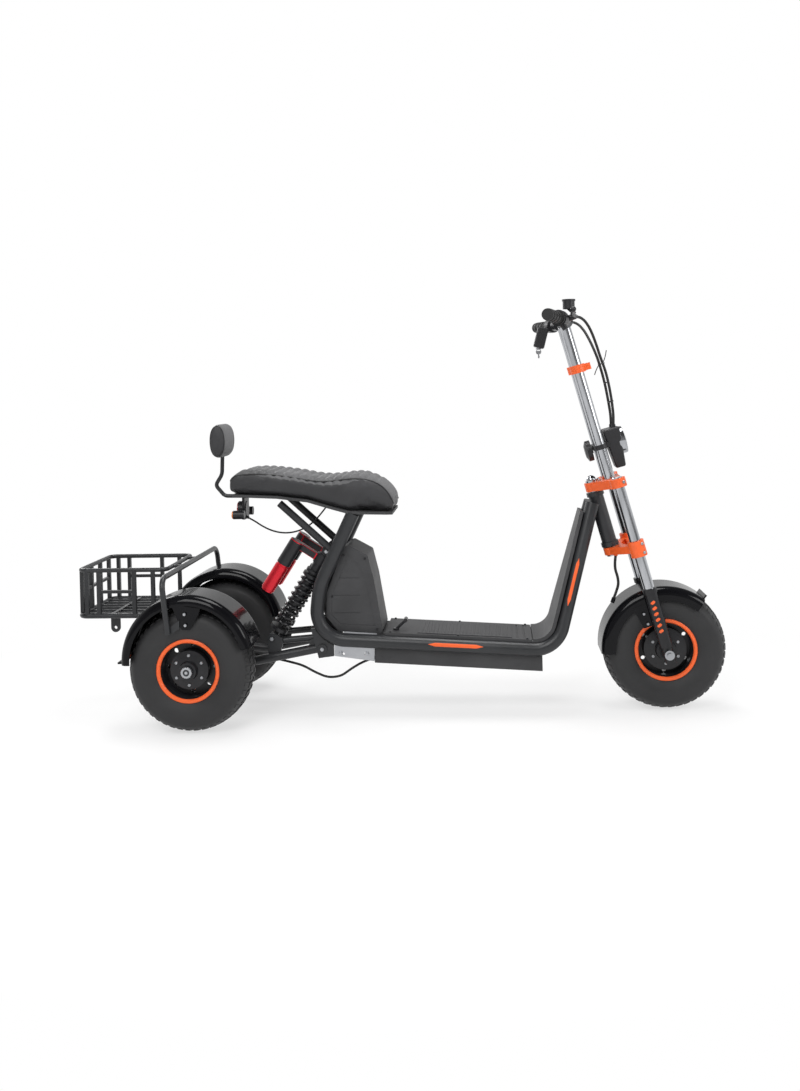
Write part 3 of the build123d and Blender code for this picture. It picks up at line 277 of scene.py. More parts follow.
class Finish:
    """A Principled material with grain in its height and a slow change in tone and roughness."""

    def __init__(self, name, colour, spread=0.25, rough=(0.4, 0.6), metallic=0.0, coat=0.0, coat_rough=0.08,
                 grain=900.0, tone=7.0, depth=0.02, stretch=(1, 1, 1), sheen=0.0, shine=0.5):
        self.material = bpy.data.materials.new(name)
        self.material.use_nodes = True
        self.tree = self.material.node_tree
        self.shader = self.tree.nodes["Principled BSDF"]
        self.shader.inputs["Metallic"].default_value = metallic
        self.shader.inputs["Coat Weight"].default_value = coat
        self.shader.inputs["Coat Roughness"].default_value = coat_rough
        self.shader.inputs["Sheen Weight"].default_value = sheen
        self.shader.inputs["Specular IOR Level"].default_value = shine
        place = self.tree.nodes.new("ShaderNodeTexCoord")
        turn = self.tree.nodes.new("ShaderNodeMapping")
        turn.inputs["Scale"].default_value = stretch
        self.link(place.outputs["Object"], turn.inputs["Vector"])
        self.vector = turn.outputs["Vector"]
        self.grain = self.tree.nodes.new("ShaderNodeGroup")
        self.grain.node_tree = GRAIN
        self.grain.inputs["Grain Scale"].default_value = grain
        self.grain.inputs["Tone Scale"].default_value = tone
        self.link(self.vector, self.grain.inputs["Vector"])
        self.colour = self.mix([c * (1 - spread) for c in colour], [min(1, c * (1 + spread)) for c in colour],
                               self.grain.outputs["Tone"])
        self.link(self.colour, self.shader.inputs["Base Color"])
        self.link(self.ranged(self.grain.outputs["Tone"], *rough), self.shader.inputs["Roughness"])
        self.bump = self.tree.nodes.new("ShaderNodeBump")
        self.bump.inputs["Distance"].default_value = depth * MM
        self.link(self.grain.outputs["Height"], self.bump.inputs["Height"])
        self.link(self.bump.outputs["Normal"], self.shader.inputs["Normal"])

    def link(self, source, target):
        """Wire from an output to an input of this material."""
        self.tree.links.new(source, target)

    def mix(self, low, high, factor):
        """Colour from low to high by the factor; each end is three numbers or a socket."""
        node = self.tree.nodes.new("ShaderNodeMix")
        node.data_type = "RGBA"
        self.link(factor, node.inputs["Factor"])
        for value, socket in ((low, node.inputs[6]), (high, node.inputs[7])):
            if isinstance(value, bpy.types.NodeSocket):
                self.link(value, socket)
            else:
                socket.default_value = (*value, 1)
        return node.outputs[2]

    def ranged(self, factor, low, high):
        """Number from low to high by the factor."""
        node = self.tree.nodes.new("ShaderNodeMapRange")
        node.inputs["To Min"].default_value = low
        node.inputs["To Max"].default_value = high
        self.link(factor, node.inputs["Value"])
        return node.outputs["Result"]

    def pebbled(self, scale, depth):
        """Leather creases on top of the grain."""
        cells = self.tree.nodes.new("ShaderNodeGroup")
        cells.node_tree = PEBBLE
        cells.inputs["Cell Scale"].default_value = scale
        self.link(self.vector, cells.inputs["Vector"])
        bump = self.tree.nodes.new("ShaderNodeBump")
        bump.inputs["Distance"].default_value = depth * MM
        self.link(cells.outputs["Height"], bump.inputs["Height"])
        self.link(self.bump.outputs["Normal"], bump.inputs["Normal"])
        self.link(bump.outputs["Normal"], self.shader.inputs["Normal"])
        return self

    def clear(self):
        """Glass that light passes through."""
        self.shader.inputs["Transmission Weight"].default_value = 1.0
        self.shader.inputs["IOR"].default_value = 1.45
        return self


# %% [markdown]
# ## Finishes
# Each slot of the record gets one finish. Black is never one black here: powder coat, moulded board,
# gloss fenders, rubber and leather differ in tone, gloss and grain, and that is what tells them apart in
# the picture.

# %% Finishes
FINISHES = {
    "frame_paint": Finish("powder_coat", (0.021, 0.022, 0.024), rough=(0.32, 0.44), grain=1500, depth=0.05,
                          shine=0.4),
    "board_plastic": Finish("grained_board", (0.040, 0.040, 0.042), rough=(0.5, 0.64), grain=1100, depth=0.10,
                            shine=0.35),
    "seat_leather": Finish("seat_leather", (0.030, 0.030, 0.032), rough=(0.45, 0.56), grain=300, depth=0.1,
                           sheen=0.03, shine=0.35).pebbled(620, 0.12),
    "gloss_black": Finish("gloss_black", (0.004, 0.004, 0.005), rough=(0.2, 0.28), coat=0.28, coat_rough=0.04,
                          depth=0.004, shine=0.03),
    "orange_paint": Finish("orange_paint", (0.80, 0.115, 0.022), spread=0.08, rough=(0.38, 0.5), coat=0.12,
                           depth=0.01, shine=0.35),
    "chrome": Finish("chrome", (0.44, 0.45, 0.47), spread=0.3, rough=(0.10, 0.2), metallic=1.0,
                     stretch=(4, 4, 0.25), depth=0.003),
    "black_metal": Finish("black_enamel", (0.014, 0.014, 0.016), rough=(0.28, 0.4), depth=0.03, shine=0.35),
    "spring_steel": Finish("spring_coat", (0.012, 0.012, 0.014), rough=(0.2, 0.3), coat=0.3, depth=0.01,
                           shine=0.3),
    "red_anodised": Finish("red_anodised", (0.62, 0.016, 0.03), spread=0.08, rough=(0.22, 0.32), metallic=0.6,
                           depth=0.005),
    "bare_steel": Finish("zinc_plate", (0.44, 0.45, 0.47), spread=0.2, rough=(0.28, 0.42), metallic=1.0,
                         depth=0.02),
    "tyre": Finish("tyre_rubber", (0.021, 0.021, 0.022), rough=(0.5, 0.66), grain=700, depth=0.08, shine=0.4),
    "grip_rubber": Finish("grip_rubber", (0.017, 0.017, 0.017), rough=(0.55, 0.7), grain=900, depth=0.08,
                          shine=0.35),
    "black_plastic": Finish("black_plastic", (0.016, 0.016, 0.018), rough=(0.32, 0.45), grain=1200,
                            depth=0.05, shine=0.35),
    "lamp_glass": Finish("lamp_glass", (0.95, 0.96, 0.98), spread=0.02, rough=(0.02, 0.05),
                         depth=0.002).clear(),
    "red_lens": Finish("red_lens", (0.50, 0.008, 0.010), spread=0.15, rough=(0.12, 0.2), coat=0.6, grain=500,
                       depth=0.3),
    "amber_lens": Finish("amber_lens", (0.80, 0.22, 0.015), spread=0.12, rough=(0.12, 0.2), coat=0.6,
                         grain=500, depth=0.3),
}
SEAT_TOP_FINISH = Finish("seat_top_leather", (0.085, 0.085, 0.088), rough=(0.5, 0.62), grain=260, depth=0.12,
                         sheen=0.05, shine=0.4).pebbled(560, 0.14)
PIPING_FINISH = Finish("piping", (0.010, 0.010, 0.011), rough=(0.35, 0.5), grain=900, depth=0.04, shine=0.4)
slot_of = {row["node"]: row["material_slot"] for row in frame["record"]["subparts"]}
for name, node in nodes.items():
    node.data.materials.clear()
    node.data.materials.append(FINISHES[slot_of[name]].material)
print("finishes", len(FINISHES))

# %% [markdown]
# ## Places
# Sizes on this scooter are written as a workshop would write them: millimetres ahead of the rear axle,
# out from the middle, and up from the ground. The fork has its own slanted line, so places on it are
# given ahead of the steering axis, to the side, and along the axis.

# %% Places on the scooter
REAR_AXLE_X = -587.75
WHEELBASE = 1367
TYRE_R = 180
TRACK_HALF = 226
RAKE = math.radians(15)
FORK_FOOT = (1304.21, 0, 163.18)
SIDES = {"right": -1, "left": 1}
OUT = Vector((0, 1, 0))
FORK_AHEAD = Vector((math.cos(RAKE), 0, math.sin(RAKE)))
FORK_UP = Vector((-math.sin(RAKE), 0, math.cos(RAKE)))


def at(x, y, z):
    """Place of a point given from the rear axle's line and the ground."""
    return Vector((x + REAR_AXLE_X, y, z)) * MM


def on_fork(x, y, s):
    """Place of a point given from the steering axis."""
    return at(*FORK_FOOT) + (FORK_AHEAD * x + OUT * y + FORK_UP * s) * MM


print("front axle at", [round(v, 3) for v in at(WHEELBASE, 0, TYRE_R)])

# %% [markdown]
# ## Mesh helpers
# Three ways of making a shape cover nearly all pieces: an outline turned about an axle, a tube along a
# smooth line, and a skin over rows of points. Each gives a closed mesh whose faces point outwards.


# %% Mesh helpers
def shell(verts, faces, sharp=35):
    """Mesh with doubles merged, faces turned outwards and edges sharper than the angle kept sharp."""
    mesh = bpy.data.meshes.new("shell")
    mesh.from_pydata(verts, [], faces)
    build = bmesh.new()
    build.from_mesh(mesh)
    bmesh.ops.remove_doubles(build, verts=build.verts, dist=1e-6)
    bmesh.ops.dissolve_degenerate(build, edges=build.edges, dist=1e-7)
    bmesh.ops.recalc_face_normals(build, faces=build.faces)
    build.to_mesh(mesh)
    build.free()
    mesh.polygons.foreach_set("use_smooth", [True] * len(mesh.polygons))
    mesh.set_sharp_from_angle(angle=math.radians(sharp))
    return mesh


def skin(rows, closed_rows=True, closed_around=False, caps=False):
    """Faces over rows of points; the rows may close on themselves, and the last row may meet the first."""
    width = len(rows[0])
    verts = [point for row in rows for point in row]
    faces = []
    for i in range(len(rows) if closed_around else len(rows) - 1):
        here, there = i * width, (i + 1) % len(rows) * width
        for j in range(width if closed_rows else width - 1):
            k = (j + 1) % width
            faces.append((here + j, here + k, there + k, there + j))
    if caps:
        faces += [tuple(reversed(range(width))), tuple(range(len(verts) - width, len(verts)))]
    return verts, faces


def turns(count):
    """Cosine and sine of even steps round a circle."""
    return [(math.cos(2 * math.pi * k / count), math.sin(2 * math.pi * k / count)) for k in range(count)]


def lathe(outline, place, axis, steps=96, sharp=35):
    """Outline of (radius, distance along the axis) points in millimetres, turned about the axis."""
    axis = axis.normalized()
    side = axis.orthogonal().normalized()
    over = axis.cross(side)
    rows = []
    for c, s in turns(steps):
        ray = side * c + over * s
        rows.append([place + (ray * r + axis * h) * MM for r, h in outline])
    open_ends = outline[0][0] == 0 and outline[-1][0] == 0
    return shell(*skin(rows, closed_rows=not open_ends, closed_around=True), sharp=sharp)


def rounded(points, parts=4):
    """More points on a smooth line through the given ones."""
    line = []
    last = len(points) - 1
    for i in range(last):
        a, b, c, d = (points[max(0, min(last, i + k))] for k in (-1, 0, 1, 2))
        for k in range(parts):
            t = k / parts
            line.append(tuple(0.5 * (2 * q + (r - p) * t + (2 * p - 5 * q + 4 * r - s) * t * t
                                     + (3 * q - p - 3 * r + s) * t ** 3) for p, q, r, s in zip(a, b, c, d)))
    return line + [tuple(points[-1])]


def soft_line(name, points, order=3, closed=False):
    """Smooth spline with the points as its control points."""
    curve = bpy.data.curves.new(name, "CURVE")
    curve.dimensions = "3D"
    curve.resolution_u = 8
    spline = curve.splines.new("NURBS")
    spline.points.add(len(points) - 1)
    for knot, point in zip(spline.points, points):
        knot.co = (*point, 1)
    spline.order_u = order
    spline.use_endpoint_u = not closed
    spline.use_cyclic_u = closed
    return curve


def tube(points, r, order=3, closed=False):
    """Round tube of radius r millimetres along a smooth line."""
    curve = soft_line("tube_line", points, order, closed)
    curve.bevel_depth = r * MM
    curve.bevel_resolution = 3
    curve.use_fill_caps = not closed
    carrier = bpy.data.objects.new("tube_line", curve)
    mesh = bpy.data.meshes.new_from_object(carrier)
    bpy.data.objects.remove(carrier)
    build = bmesh.new()
    build.from_mesh(mesh)
    bmesh.ops.remove_doubles(build, verts=build.verts, dist=1e-6)
    bmesh.ops.recalc_face_normals(build, faces=build.faces)
    build.to_mesh(mesh)
    build.free()
    mesh.polygons.foreach_set("use_smooth", [True] * len(mesh.polygons))
    return mesh


def joined(meshes):
    """One mesh from several."""
    build = bmesh.new()
    for mesh in meshes:
        build.from_mesh(mesh)
    mesh = bpy.data.meshes.new("joined")
    build.to_mesh(mesh)
    build.free()
    mesh.set_sharp_from_angle(angle=math.radians(35))
    return mesh


def piece(name, mesh, body, slot, finishes=()):
    """Object of the finished mesh that rides on a body and takes a slot's finish."""
    mesh.name = name
    thing = bpy.data.objects.new(name, mesh)
    bpy.context.scene.collection.objects.link(thing)
    if len(mesh.materials) == 0:
        for finish in finishes or (FINISHES[slot],):
            mesh.materials.append(finish.material)
    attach(thing, body)
    print(name, "on", body, "faces", len(mesh.polygons))
    return thing


def surface(mesh):
    """Search tree of a mesh's faces, for straight lines to meet."""
    return BVHTree.FromPolygons([v.co for v in mesh.vertices], [tuple(p.vertices) for p in mesh.polygons])


def seat_on(node, start, aim):
    """Where a straight line from the start meets a node of the model."""
    hit = surface(nodes[node].data).ray_cast(start, aim.normalized())[0]
    if hit is None:
        raise ValueError("no face of " + node + " on the line from " + str(start))
    return hit


# %% [markdown]
# ## Trees for what repeats
# Fasteners, tread blocks and ribs are one small shape repeated by a rule, and that is what Geometry Nodes
# are for. One tree turns copies about an axle, one sets them in a row, and one puts a head on each point
# of a table and turns it to that point's direction. Each ends in real geometry with its finish, and is
# baked to a plain mesh.


# %% Trees for what repeats
def new_tree(name, inputs):
    """Geometry tree that takes a mesh, the named inputs and a finish."""
    tree = bpy.data.node_groups.new(name, "GeometryNodeTree")
    group_socket(tree, "Geometry", "NodeSocketGeometry", "INPUT")
    for label, kind, value in inputs:
        group_socket(tree, label, kind, "INPUT", value)
    group_socket(tree, "Finish", "NodeSocketMaterial", "INPUT")
    group_socket(tree, "Geometry", "NodeSocketGeometry", "OUTPUT")
    return tree, tree.nodes.new("NodeGroupInput")


def end_tree(tree, entry, copies):
    """The copies become real faces and take the finish."""
    real = tree.nodes.new("GeometryNodeRealizeInstances")
    paint = tree.nodes.new("GeometryNodeSetMaterial")
    leave = tree.nodes.new("NodeGroupOutput")
    tree.links.new(copies.outputs["Instances"], real.inputs["Geometry"])
    tree.links.new(real.outputs["Geometry"], paint.inputs["Geometry"])
    tree.links.new(entry.outputs["Finish"], paint.inputs["Material"])
    tree.links.new(paint.outputs["Geometry"], leave.inputs["Geometry"])
    return tree


def around_axle_tree():
    """Copies of a shape, drawn about the origin, turned about a wheel's axle."""
    tree, entry = new_tree("around_axle", [("Centre", "NodeSocketVector", (0, 0, 0)),
                                           ("Count", "NodeSocketInt", 6)])
    spots = tree.nodes.new("GeometryNodePoints")
    tree.links.new(entry.outputs["Count"], spots.inputs["Count"])
    tree.links.new(entry.outputs["Centre"], spots.inputs["Position"])
    index = tree.nodes.new("GeometryNodeInputIndex").outputs[0]
    share = calc(tree, "DIVIDE", index, entry.outputs["Count"])
    turn = tree.nodes.new("ShaderNodeCombineXYZ")
    tree.links.new(calc(tree, "MULTIPLY", share, 2 * math.pi), turn.inputs["Y"])
    copies = tree.nodes.new("GeometryNodeInstanceOnPoints")
    tree.links.new(spots.outputs[0], copies.inputs["Points"])
    tree.links.new(entry.outputs["Geometry"], copies.inputs["Instance"])
    tree.links.new(turn.outputs[0], copies.inputs["Rotation"])
    return end_tree(tree, entry, copies)


def in_row_tree():
    """Copies of a shape at even steps."""
    tree, entry = new_tree("in_row", [("Count", "NodeSocketInt", 6), ("Step", "NodeSocketVector", (0, 0, 0))])
    line = tree.nodes.new("GeometryNodeMeshLine")
    tree.links.new(entry.outputs["Count"], line.inputs["Count"])
    tree.links.new(entry.outputs["Step"], line.inputs["Offset"])
    copies = tree.nodes.new("GeometryNodeInstanceOnPoints")
    tree.links.new(line.outputs[0], copies.inputs["Points"])
    tree.links.new(entry.outputs["Geometry"], copies.inputs["Instance"])
    return end_tree(tree, entry, copies)


def on_points_tree():
    """A head on each point, turned to the point's aim and scaled to its size."""
    tree, entry = new_tree("on_points", [("Head", "NodeSocketObject", None)])
    head = tree.nodes.new("GeometryNodeObjectInfo")
    tree.links.new(entry.outputs["Head"], head.inputs["Object"])
    reads = {}
    for label, kind in (("aim", "FLOAT_VECTOR"), ("size", "FLOAT")):
        reads[label] = tree.nodes.new("GeometryNodeInputNamedAttribute")
        reads[label].data_type = kind
        reads[label].inputs["Name"].default_value = label
    turn = tree.nodes.new("FunctionNodeAlignRotationToVector")
    turn.axis = "Z"
    tree.links.new(reads["aim"].outputs["Attribute"], turn.inputs["Vector"])
    copies = tree.nodes.new("GeometryNodeInstanceOnPoints")
    tree.links.new(entry.outputs["Geometry"], copies.inputs["Points"])
    tree.links.new(head.outputs["Geometry"], copies.inputs["Instance"])
    tree.links.new(turn.outputs[0], copies.inputs["Rotation"])
    tree.links.new(reads["size"].outputs["Attribute"], copies.inputs["Scale"])
    return end_tree(tree, entry, copies)


AROUND_AXLE = around_axle_tree()
IN_ROW = in_row_tree()
ON_POINTS = on_points_tree()


def baked(mesh, tree, **values):
    """Plain mesh of what a tree makes from a mesh."""
    source = bpy.data.objects.new("tree_source", mesh)
    bpy.context.scene.collection.objects.link(source)
    modifier = source.modifiers.new("tree", "NODES")
    modifier.node_group = tree
    for item in tree.interface.items_tree:
        if item.item_type == "SOCKET" and item.in_out == "INPUT" and item.name in values:
            modifier[item.identifier] = values[item.name]
    depsgraph = bpy.context.evaluated_depsgraph_get()
    result = bpy.data.meshes.new_from_object(source.evaluated_get(depsgraph))
    bpy.data.objects.remove(source)
    return result


# %% [markdown]
# ## Tail wire
# A thin lead leaves the tail lamp, hangs in a shallow bow and goes back in under the seat. It is a smooth
# line through given points, so its length is the one that the picture shows.

# %% Tail wire
WIRE_ROUTE = [(126, -12, 581), (143, -12, 572), (164, -11, 557), (192, -10, 542), (226, -9, 533),
              (262, -8, 534), (298, -7, 546), (328, -6, 568), (350, -5, 592), (365, -5, 611)]
WIRE_R = 2.5
wire_line = soft_line("tail_wire_line", [at(*point) for point in WIRE_ROUTE])
wire_line.bevel_depth = WIRE_R * MM
wire_line.bevel_resolution = 3
wire_line.use_fill_caps = True
wire_line.materials.append(FINISHES["grip_rubber"].material)
tail_lead = bpy.data.objects.new("tail_lead", wire_line)
bpy.context.scene.collection.objects.link(tail_lead)
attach(tail_lead, "frame")
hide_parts("tail_wire")

# %% [markdown]
# ## Tyres
# A fat tyre is a smooth balloon: the side walls are plain and the tread is cut shallow. The carcass is an
# outline turned about the axle. One pitch of tread, six low blocks that follow the crown, is copied
# around it.

# %% Tyres
TYRE_HALF = [(84, 46), (86.5, 51), (94, 58.5), (102, 62.8), (114, 67.2), (128, 69.6), (142, 68.6), (154, 65),
             (165, 53.5), (172.6, 35), (176.4, 16), (177.2, 0)]
TREAD_TOP = 2.6
SHOULDER_TOP = 1.8
TREAD_PITCHES = 46
TREAD_SUNK = 1.2
TREAD_GROUND_GAP = 0.15
TREAD_NARROWS = 0.18
TREAD_TOP_SHARE = 0.86
TREAD_ROWS = 4
TREAD_BLOCKS = [
    # from and to across the tyre, offset round it at both ends, half length, rise
    (3, 17, -2, 3, 8.2, TREAD_TOP),
    (-15, -29, 9, 13, 8.2, TREAD_TOP),
    (20, 34, 4, 8, 8.2, TREAD_TOP),
    (-3, -12, 10, 9, 7.2, TREAD_TOP),
    (38, 56, -3, -6, 7.6, SHOULDER_TOP),
    (-34, -52, 8, 5, 7.6, SHOULDER_TOP),
]
half_outline = rounded(TYRE_HALF, 4)
tyre_outline = half_outline + [(r, -h) for r, h in reversed(half_outline[:-1])]
crown = sorted((h, r) for r, h in half_outline if r > 140)


def crown_r(y):
    """Radius of the carcass at a distance from its middle."""
    y = abs(y)
    for (y0, r0), (y1, r1) in zip(crown, crown[1:]):
        if y0 <= y <= y1:
            return r0 + (r1 - r0) * (y - y0) / max(1e-6, y1 - y0)
    return crown[0][1] if y < crown[0][0] else crown[-1][1]


def tread_block(y_in, y_out, x_in, x_out, half_len, rise):
    """Low block that follows the crown from y_in to y_out and slants from x_in to x_out."""
    rows = []
    for k in range(TREAD_ROWS):
        t = k / (TREAD_ROWS - 1)
        y, x = y_in + (y_out - y_in) * t, x_in + (x_out - x_in) * t
        low, high = crown_r(y) - TREAD_SUNK, min(TYRE_R - TREAD_GROUND_GAP, crown_r(y) + rise)
        half = half_len * (1 - TREAD_NARROWS * t)
        top_half = half * TREAD_TOP_SHARE
        section = [(x - half, low), (x - top_half, high), (x + top_half, high), (x + half, low)]
        rows.append([Vector((across, y, math.sqrt(r * r - across * across))) * MM for across, r in section])
    return shell(*skin(rows, caps=True), sharp=20)


tread_pitch = joined([tread_block(*row) for row in TREAD_BLOCKS])
WHEELS = [("front", "front_wheel", at(WHEELBASE, 0, TYRE_R)),
          ("rear_right", "rear_wheel_right", at(0, -TRACK_HALF, TYRE_R)),
          ("rear_left", "rear_wheel_left", at(0, TRACK_HALF, TYRE_R))]
TYRE_NODES = {"front": "front_tyre", "rear_right": "rear_tyre_right", "rear_left": "rear_tyre_left"}
RIM_NODES = {"front": "front_rim", "rear_right": "rear_rim_right", "rear_left": "rear_rim_left"}
for label, body, centre in WHEELS:
    carcass = lathe(tyre_outline, centre, OUT, steps=120)
    tread = baked(tread_pitch, AROUND_AXLE, Centre=centre, Count=TREAD_PITCHES,
                  Finish=FINISHES["tyre"].material)
    tyre = piece("tyre_" + label, joined([carcass, tread]), body, "tyre")
    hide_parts(TYRE_NODES[label])

# %% [markdown]
# ## Seat cushion
# The seat is a long foam block under a sewn cover: a light top panel with soft channels across it, darker
# sides, and a round seam between them. Its outline along the scooter comes from the side view. Cloth with
# air pressure inside then rounds it, as foam fills a cover, and the channels are pressed into the top
# panel afterwards.

# %% Puffing
CLOTH_FRAMES = 20
AIR_PRESSURE = 4


def plain(thing):
    """Mesh of an object with its modifiers applied; the object goes."""
    depsgraph = bpy.context.evaluated_depsgraph_get()
    mesh = bpy.data.meshes.new_from_object(thing.evaluated_get(depsgraph))
    bpy.data.objects.remove(thing)
    return mesh


def carried(mesh):
    """Object that holds a mesh while modifiers work on it."""
    thing = bpy.data.objects.new("in_work", mesh)
    bpy.context.scene.collection.objects.link(thing)
    return thing


def puffed(mesh, voxel, most):
    """Even mesh, swollen by air pressure, in which no point has moved more than the given millimetres."""
    thing = carried(mesh)
    even = thing.modifiers.new("even", "REMESH")
    even.mode = "VOXEL"
    even.voxel_size = voxel * MM
    mesh = plain(thing)
    start = [v.co.copy() for v in mesh.vertices]
    thing = carried(mesh.copy())
    cloth = thing.modifiers.new("cloth", "CLOTH")
    cloth.settings.use_pressure = True
    cloth.settings.uniform_pressure_force = AIR_PRESSURE
    cloth.settings.effector_weights.gravity = 0
    cloth.point_cache.frame_start = 1
    cloth.point_cache.frame_end = CLOTH_FRAMES
    for step in range(1, CLOTH_FRAMES + 1):
        bpy.context.scene.frame_set(step)
    moved = [v.co.copy() for v in plain(thing).vertices]
    bpy.context.scene.frame_set(1)
    for vertex, begun, swollen in zip(mesh.vertices, start, moved):
        shift = swollen - begun
        vertex.co = begun + shift * min(1, most * MM / max(1e-9, shift.length))
    thing = carried(mesh)
    fine = thing.modifiers.new("fine", "SUBSURF")
    fine.levels = fine.render_levels = 1
    mesh = plain(thing)
    mesh.polygons.foreach_set("use_smooth", [True] * len(mesh.polygons))
    return mesh


# %% Seat outline
SEAT_TOP = rounded([(84, 702), (94, 718), (112, 727), (150, 731), (190, 730), (240, 724.5), (290, 717),
                    (330, 709), (372, 704.5), (410, 706.5), (450, 711), (480, 711), (508, 706), (532, 697),
                    (552, 684), (568, 667), (580, 647), (588, 622)], 4)
SEAT_LOW = [(60, 665.5), (100, 665.2), (235, 657.2), (325, 645.2), (400, 622.2), (446, 609.2), (600, 602.2)]
SEAT_PLAN = [(84, 108), (92, 120), (104, 126.5), (120, 128), (420, 128), (500, 116), (560, 104), (576, 98),
             (588, 84)]
START_IN = 5
SEAT_START = 88
STATION_STEP = 4
STATIONS = 124
POINTS_ACROSS = 72
SEAT_SQUARENESS = 5.5
SEAT_LIFT = 0.6
THINNEST_HALF = 4


def along(table, x):
    """Value of a table of pairs at x."""
    for (x0, v0), (x1, v1) in zip(table, table[1:]):
        if x <= x1:
            return v0 + (v1 - v0) * max(0, (x - x0) / (x1 - x0))
    return table[-1][1]


def rounded_box(share, power):
    """Point of a unit box with rounded corners, at a share of the way round."""
    a = 2 * math.pi * share
    c, s = math.cos(a), math.sin(a)
    return math.copysign(abs(c) ** (2 / power), c), math.copysign(abs(s) ** (2 / power), s)


def seat_block():
    """Rows of points across the seat, a little smaller than the finished cushion."""
    rows = []
    for station in range(STATIONS):
        x = SEAT_START + STATION_STEP * station
        low, high = along(SEAT_LOW, x) + SEAT_LIFT, along(SEAT_TOP, x) - START_IN
        half = along(SEAT_PLAN, x) - START_IN
        mid, rise = (low + high) / 2, max(THINNEST_HALF, (high - low) / 2)
        row = []
        for k in range(POINTS_ACROSS):
            across, up_share = rounded_box(k / POINTS_ACROSS, SEAT_SQUARENESS)
            row.append(at(x, across * half, mid + up_share * rise))
        rows.append(row)
    return shell(*skin(rows, caps=True))


cushion_mesh = puffed(seat_block(), voxel=5, most=9)
print("cushion faces", len(cushion_mesh.polygons))

# %% Channels and panels of the seat
CHANNEL_PITCH = 25
CHANNEL_DEPTH = 2.8
CHANNELS = [124 + CHANNEL_PITCH * k for k in range(17)]
CHANNEL_BOW = 5
BOW_PITCH = 34
GROOVE_HALF = 4.2
RIDGE_HALF = 6
RIDGE_SHARE = 0.35
SIDE_FADE = 14
END_FADE = 12
CHANNELS_FROM = 108
CHANNELS_TO = 548
SEAM_IN = 9
PANEL_IN = 16
REAR_EDGE = (96, 702)


def clamped(share):
    """Share held between 0 and 1."""
    return max(0, min(1, share))


def off_top(x, z):
    """Distance in millimetres from the outline of the seat's top."""
    best = 1e9
    for (x0, z0), (x1, z1) in zip(SEAT_TOP, SEAT_TOP[1:]):
        run = (x1 - x0) ** 2 + (z1 - z0) ** 2
        t = clamped(((x - x0) * (x1 - x0) + (z - z0) * (z1 - z0)) / max(1e-9, run))
        best = min(best, math.hypot(x - x0 - t * (x1 - x0), z - z0 - t * (z1 - z0)))
    return best


def in_top_panel(place, normal):
    """Whether a face belongs to the cover's top panel."""
    x, y, z = place.x / MM - REAR_AXLE_X, abs(place.y) / MM, place.z / MM
    if normal.z < -0.4 or (x < REAR_EDGE[0] and z < REAR_EDGE[1]):
        return False
    faces_up = normal.z > 0.3 or normal.x > 0.4
    return off_top(x, z) < SEAM_IN or (y < along(SEAT_PLAN, x) - PANEL_IN and faces_up)


upward = [vertex.normal.z for vertex in cushion_mesh.vertices]
for vertex, rise in zip(cushion_mesh.vertices, upward):
    x, y, z = vertex.co.x / MM - REAR_AXLE_X, abs(vertex.co.y) / MM, vertex.co.z / MM
    vertex.co.z = max(vertex.co.z, (along(SEAT_LOW, x) + 0.2) * MM)
    if rise > 0.25:
        bow = CHANNEL_BOW * math.sin(y / BOW_PITCH)
        near = min(abs(x - channel - bow) for channel in CHANNELS)
        side_fade = clamped((along(SEAT_PLAN, x) - SEAM_IN - y) / SIDE_FADE)
        end_fade = clamped((x - CHANNELS_FROM) / END_FADE) * clamped((CHANNELS_TO - x) / END_FADE)
        ridge = math.exp(-((near - CHANNEL_PITCH / 2) / RIDGE_HALF) ** 2)
        pull = math.exp(-(near / GROOVE_HALF) ** 2) - RIDGE_SHARE * ridge
        vertex.co.z -= CHANNEL_DEPTH * pull * side_fade * end_fade * MM
cushion_mesh.update()
cushion_mesh.materials.append(FINISHES["seat_leather"].material)
cushion_mesh.materials.append(SEAT_TOP_FINISH.material)
for face in cushion_mesh.polygons:
    face.material_index = 1 if in_top_panel(face.center, face.normal) else 0
cushion = piece("cushion", cushion_mesh, "frame", "seat_leather")
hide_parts("seat_cushion")

# %% Seat piping
PIPING_R = 2.4
SEAM_REAR_X = 98
REAR_SEAM_Z = 702
REAR_SEAM_HALF = 108
REAR_SEAM_STEP = 18
REAR_SEAM_POINTS = 13
cushion_skin = surface(cushion_mesh)


def seam_point(x, z, side):
    """Point of the cushion's side at a place of the side view."""
    return cushion_skin.ray_cast(at(x, side * 300, z), Vector((0, -side, 0)))[0]


inset = []
for (x0, z0), (x1, z1) in zip(SEAT_TOP[::2], SEAT_TOP[2::2]):
    run = math.hypot(x1 - x0, z1 - z0)
    inset.append(((x0 + x1) / 2 + (z1 - z0) / run * SEAM_IN, (z0 + z1) / 2 - (x1 - x0) / run * SEAM_IN))
inset = [point for point in inset if point[0] > SEAM_REAR_X]
seam = [p for p in (seam_point(x, z, -1) for x, z in reversed(inset)) if p is not None]
for k in range(REAR_SEAM_POINTS):
    behind = at(-60, -REAR_SEAM_HALF + REAR_SEAM_STEP * k, REAR_SEAM_Z)
    hit = cushion_skin.ray_cast(behind, Vector((1, 0, 0)))[0]
    if hit is not None:
        seam.append(hit)
seam += [p for p in (seam_point(x, z, 1) for x, z in inset) if p is not None]
piece("seat_piping", tube(seam, PIPING_R), "frame", "seat_leather", (PIPING_FINISH,))

# %% [markdown]
# ## Backrest pad
# The small pad at the back is a short bolster: an oval roll with a sewn cap at each end. It is drawn as
# ovals along its length that close in at the ends, and puffed like the seat.

